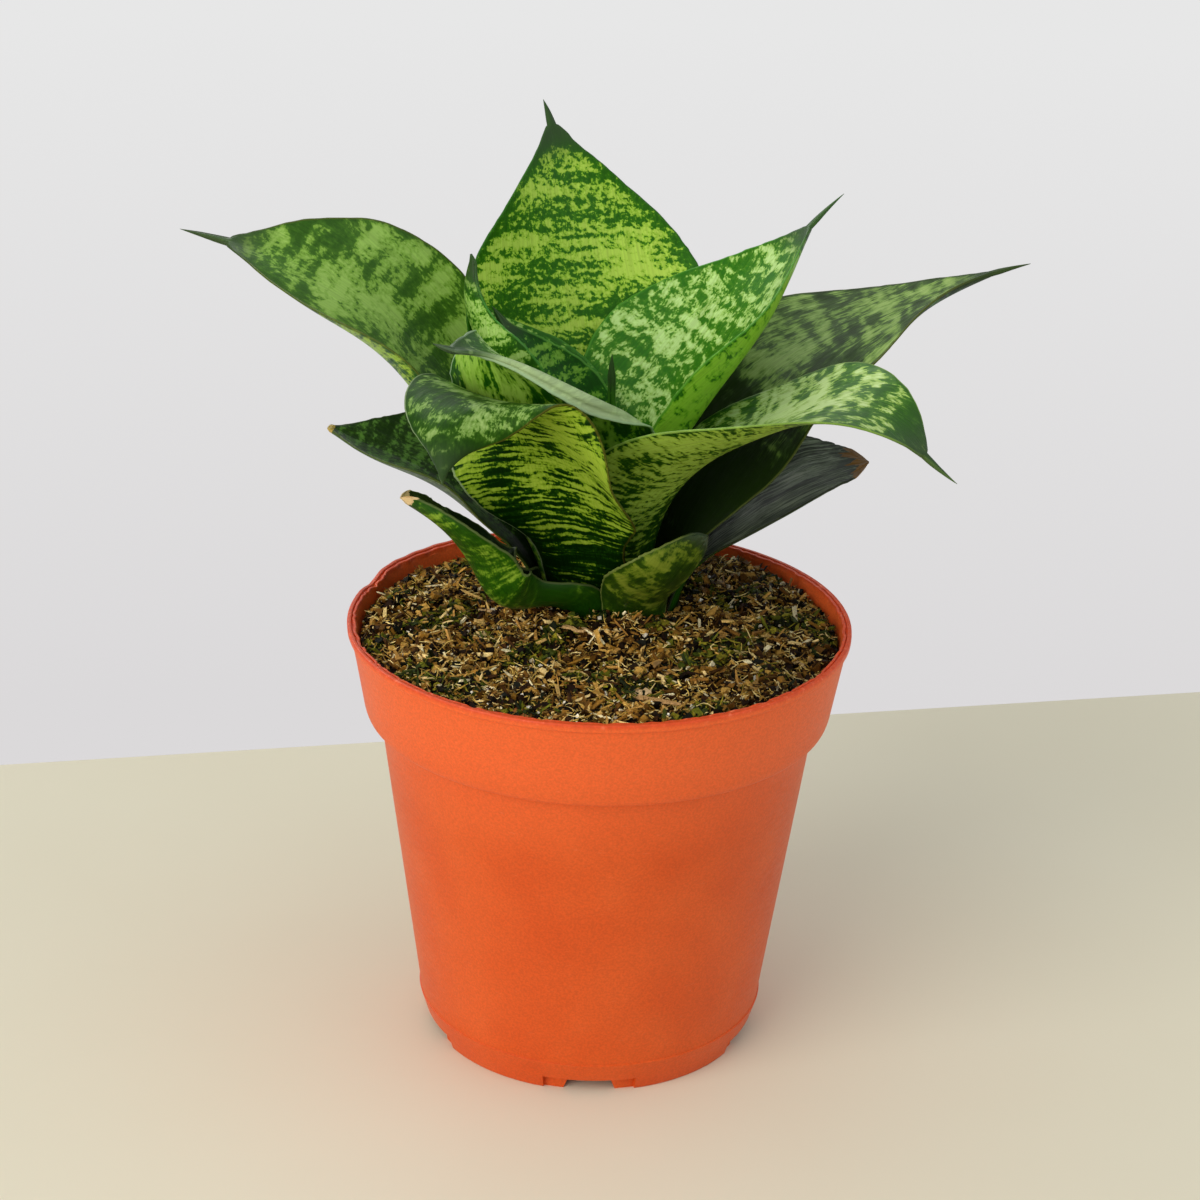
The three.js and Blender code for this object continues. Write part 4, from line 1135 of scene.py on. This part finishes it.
def addLargeChip(store, rng, x, y, length, width, turnDegrees, tipDegrees, colour):
    # split and bent along the grain
    turn, tip = math.radians(turnDegrees), math.radians(tipDegrees)
    forward = np.array([math.cos(turn) * math.cos(tip), math.sin(turn) * math.cos(tip), math.sin(tip)])
    sideways = np.array([-math.sin(turn), math.cos(turn), 0])
    upward = np.cross(forward, sideways)
    middle = np.array([x, y, float(soilHeight(x, y)) + 1.0])
    points = []
    for k in range(chipRings):
        t = k / (chipRings - 1) - 0.5
        wide = width / 2 * (1 - 0.55 * abs(2 * t) ** 3) * rng.uniform(0.8, 1.15)
        deep = 0.42 * (1 - 0.4 * abs(2 * t)) * rng.uniform(0.8, 1.2)
        centre = middle + forward * t * length + sideways * rng.normal(0, 0.12) + upward * rng.normal(0, 0.1)
        for a, b in chipCorners:
            points.append(centre + sideways * wide * a * rng.uniform(0.85, 1.1) + upward * deep * b)
    sides = len(chipCorners)
    tint = np.array(linearColour(colour))[None]
    addFragments(store, np.array(points)[None], ringWalls(chipRings, sides), tint)
    end = range(store["count"] - sides, store["count"])
    start = range(store["count"] - len(points), store["count"] - len(points) + sides)
    store["faces"] += [tuple(reversed(start)), tuple(end)]


def soilMaterial():
    # loose moist peat: dull, fibrous brown, each crumb with its own tint, with painted shade towards the
    # right
    material, tree, shader = newMaterial("moistPeatAndBark", {
        "Roughness": 0.6, "IOR": 1.4, "Specular IOR Level": 0.15})
    tint = addNode(tree, "Attribute", {"attribute_name": "tint"}).outputs["Color"]
    inMm = placeInMm(tree)
    fine = addNode(tree, "TexNoise", {"Scale": 1 / 0.45, "Detail": 3, "Roughness": 0.7}, {"Vector": inMm})
    shade = addNode(tree, "MapRange", {1: 0.3, 2: 0.7, 3: 0.55, 4: 1.4}, {0: fine})
    grained = addNode(tree, "Mix", colourProduct, {6: tint, 7: shade})
    bump = addNode(tree, "Bump", {"Strength": 0.6, "Distance": 0.0003}, {"Height": fine})
    linkInto(tree, shader, {"Base Color": grained, "Normal": bump})
    return material


def leafFeet():
    # a search tree of the blades' points that are down by the soil
    feet = [v.co for piece in bpy.data.objects if piece.name.endswith("_blade") for v in piece.data.vertices
            if v.co.z < soil["feetBelow"] * mm]
    tree = kdtree.KDTree(len(feet))
    for i, co in enumerate(feet):
        tree.insert(co, i)
    tree.balance()
    return tree


def makeSoil():
    rng = np.random.default_rng(soil["seed"])
    feet = leafFeet()

    def footDistance(x, y, z):
        return feet.find(Vector((x, y, z)) * mm)[2] / mm

    body, bodyFaces = soilBody()
    # the body's own dark peat colour, darkened further as painted shade in the gaps between the fragments
    ground = np.tile(np.array(linearColour(soil["ground"])), (len(body), 1))
    store = {"points": [np.array(body)], "colours": [ground], "faces": list(bodyFaces), "count": len(body)}
    for fragments in (crumbs, chipsAndSplinters, fibres, whiteGrains):
        addFragments(store, *fragments(rng, footDistance))
    for large in largeChips:
        addLargeChip(store, rng, *large)

    # painted shade: the soil is painted darker towards the right
    points, tint = np.concatenate(store["points"]), np.concatenate(store["colours"])
    shadeToRight = soil["shadeToRight"]
    tint[:, :3] *= 1 - shadeToRight["loss"] * smoothRamp((points[:, :1] - shadeToRight["from"]) / shadeToRight["ramp"])
    meshPiece("soil_bed", points, store["faces"], [soilMaterial()], "soil", "soil", {"tint": tint},
              smooth=False)


makeSoil()
print("soil filled")


def crownMaterial():
    # cut rhizome and dry leaf bases: matt straw brown with fibres running up it
    material, tree, shader = newMaterial("fibrousRhizome", {"Roughness": 0.8, "IOR": 1.4})
    where = addNode(tree, "NewGeometry").outputs["Position"]
    fibrePlace = addNode(tree, "VectorMath", {"operation": "MULTIPLY", 1: (1800, 1800, 120)}, {0: where})
    strands = addNode(tree, "TexNoise", {"Scale": 1, "Detail": 4}, {"Vector": fibrePlace})
    ramp = addNode(tree, "ValToRGB", {}, {0: strands})
    paintRamp(ramp, [(0.3, "#4a3418"), (0.5, "#7d6336"), (0.7, "#a38a55")])
    bump = addNode(tree, "Bump", {"Strength": 0.5, "Distance": 0.0003}, {"Height": strands})
    linkInto(tree, shader, {"Base Color": ramp, "Normal": bump})
    return material


crownPiece = frame["nodes"]["crown"]
crownPiece.data.materials.clear()
crownPiece.data.materials.append(crownMaterial())
print("crown finished")

# stage: a cream table top that ends behind the pot, in front of a pale wall that is only background;
# the lamps point at aim, and wall lowZ and highZ are how steeply the line of sight climbs
table = {"edgeLeft": (-157.6, 112.2), "edgeRight": (173.0, 181.2), "reach": 6, "front": -1600,
         "shaded": "#e4dfc6", "colour": "#e6e2ca"}
aim = (0, 0, 90)
lamps = {
    "overhead": {"at": (-150, 0, 1300), "size": 1800, "power": 3, "colour": "#fffdf8"},
    "window": {"at": (-1161, -1290, 863), "size": 1700, "power": 24, "colour": "#fffaf2"},
    "fill": {"at": (1100, -300, 600), "size": 1400, "power": 2.5, "colour": "#f4f6ff"},
    "sheen": {"at": (-350, 560, 850), "size": 950, "power": 6, "colour": "#ffffff", "glossOnly": True},
}
wall = {"low": "#dbd9da", "high": "#e7e7e7", "lowZ": -0.42, "highZ": -0.2,
        "light": "#f3f4f8", "strength": 0.55}


def makeTable():
    left, right = np.array(table["edgeLeft"]), np.array(table["edgeRight"])
    run = (right - left) * table["reach"]
    far = [left - run, right + run]
    points = [(*far[0], 0), (*far[1], 0), (far[1][0], table["front"], 0), (far[0][0], table["front"], 0)]
    material, tree, shader = newMaterial("mattPaintedBoard", {
        "Roughness": 0.65, "IOR": 1.45, "Specular IOR Level": 0.25})
    # board painted with a roller: even cream with a very faint mottle
    where = addNode(tree, "NewGeometry").outputs["Position"]
    cloud = addNode(tree, "TexNoise", {"Scale": 9, "Detail": 3}, {"Vector": where})
    ramp = addNode(tree, "ValToRGB", {}, {0: cloud})
    paintRamp(ramp, [(0.3, table["shaded"]), (0.7, table["colour"])])
    linkInto(tree, shader, {"Base Color": ramp})
    floor = meshPiece("table_top", points, [(3, 2, 1, 0)], [material], smooth=False)


def addLamps():
    for name, lamp in lamps.items():
        data = bpy.data.lights.new(name, "AREA")
        data.shape = "DISK"
        data.size = lamp["size"] * mm
        data.energy = lamp["power"]
        data.color = linearColour(lamp["colour"])[:3]
        piece = bpy.data.objects.new(name, data)
        scene.collection.objects.link(piece)
        piece.location = Vector(lamp["at"]) * mm
        # the lamp above and behind only puts a sheen on
        piece.visible_diffuse = not lamp.get("glossOnly", False)
        piece.rotation_euler = (piece.location - Vector(aim) * mm).to_track_quat("Z", "Y").to_euler()


def paintWorld():
    world = bpy.data.worlds.new("paleWall")
    world.use_nodes = True
    scene.world = world
    tree = world.node_tree
    tree.nodes.clear()
    # painted light: the wall is a little paler higher up
    direction = addNode(tree, "TexCoord").outputs["Generated"]
    height = addNode(tree, "SeparateXYZ", {}, {0: direction}).outputs[2]
    rise = addNode(tree, "MapRange", {1: wall["lowZ"], 2: wall["highZ"], 3: 0, 4: 1}, {0: height})
    shade = addNode(tree, "Mix", colourMix | {6: linearColour(wall["low"]), 7: linearColour(wall["high"])},
                    {0: rise})
    seen = addNode(tree, "Background", {"Strength": 1.0}, {"Color": shade})
    light = addNode(tree, "Background", {"Color": linearColour(wall["light"]), "Strength": wall["strength"]})
    toCamera = addNode(tree, "LightPath").outputs["Is Camera Ray"]
    mixed = addNode(tree, "MixShader", {}, {0: toCamera, 1: light, 2: seen})
    addNode(tree, "OutputWorld", {}, {"Surface": mixed})


makeTable()
addLamps()
paintWorld()
scene.view_settings.view_transform = "Standard"
print("stage lit")
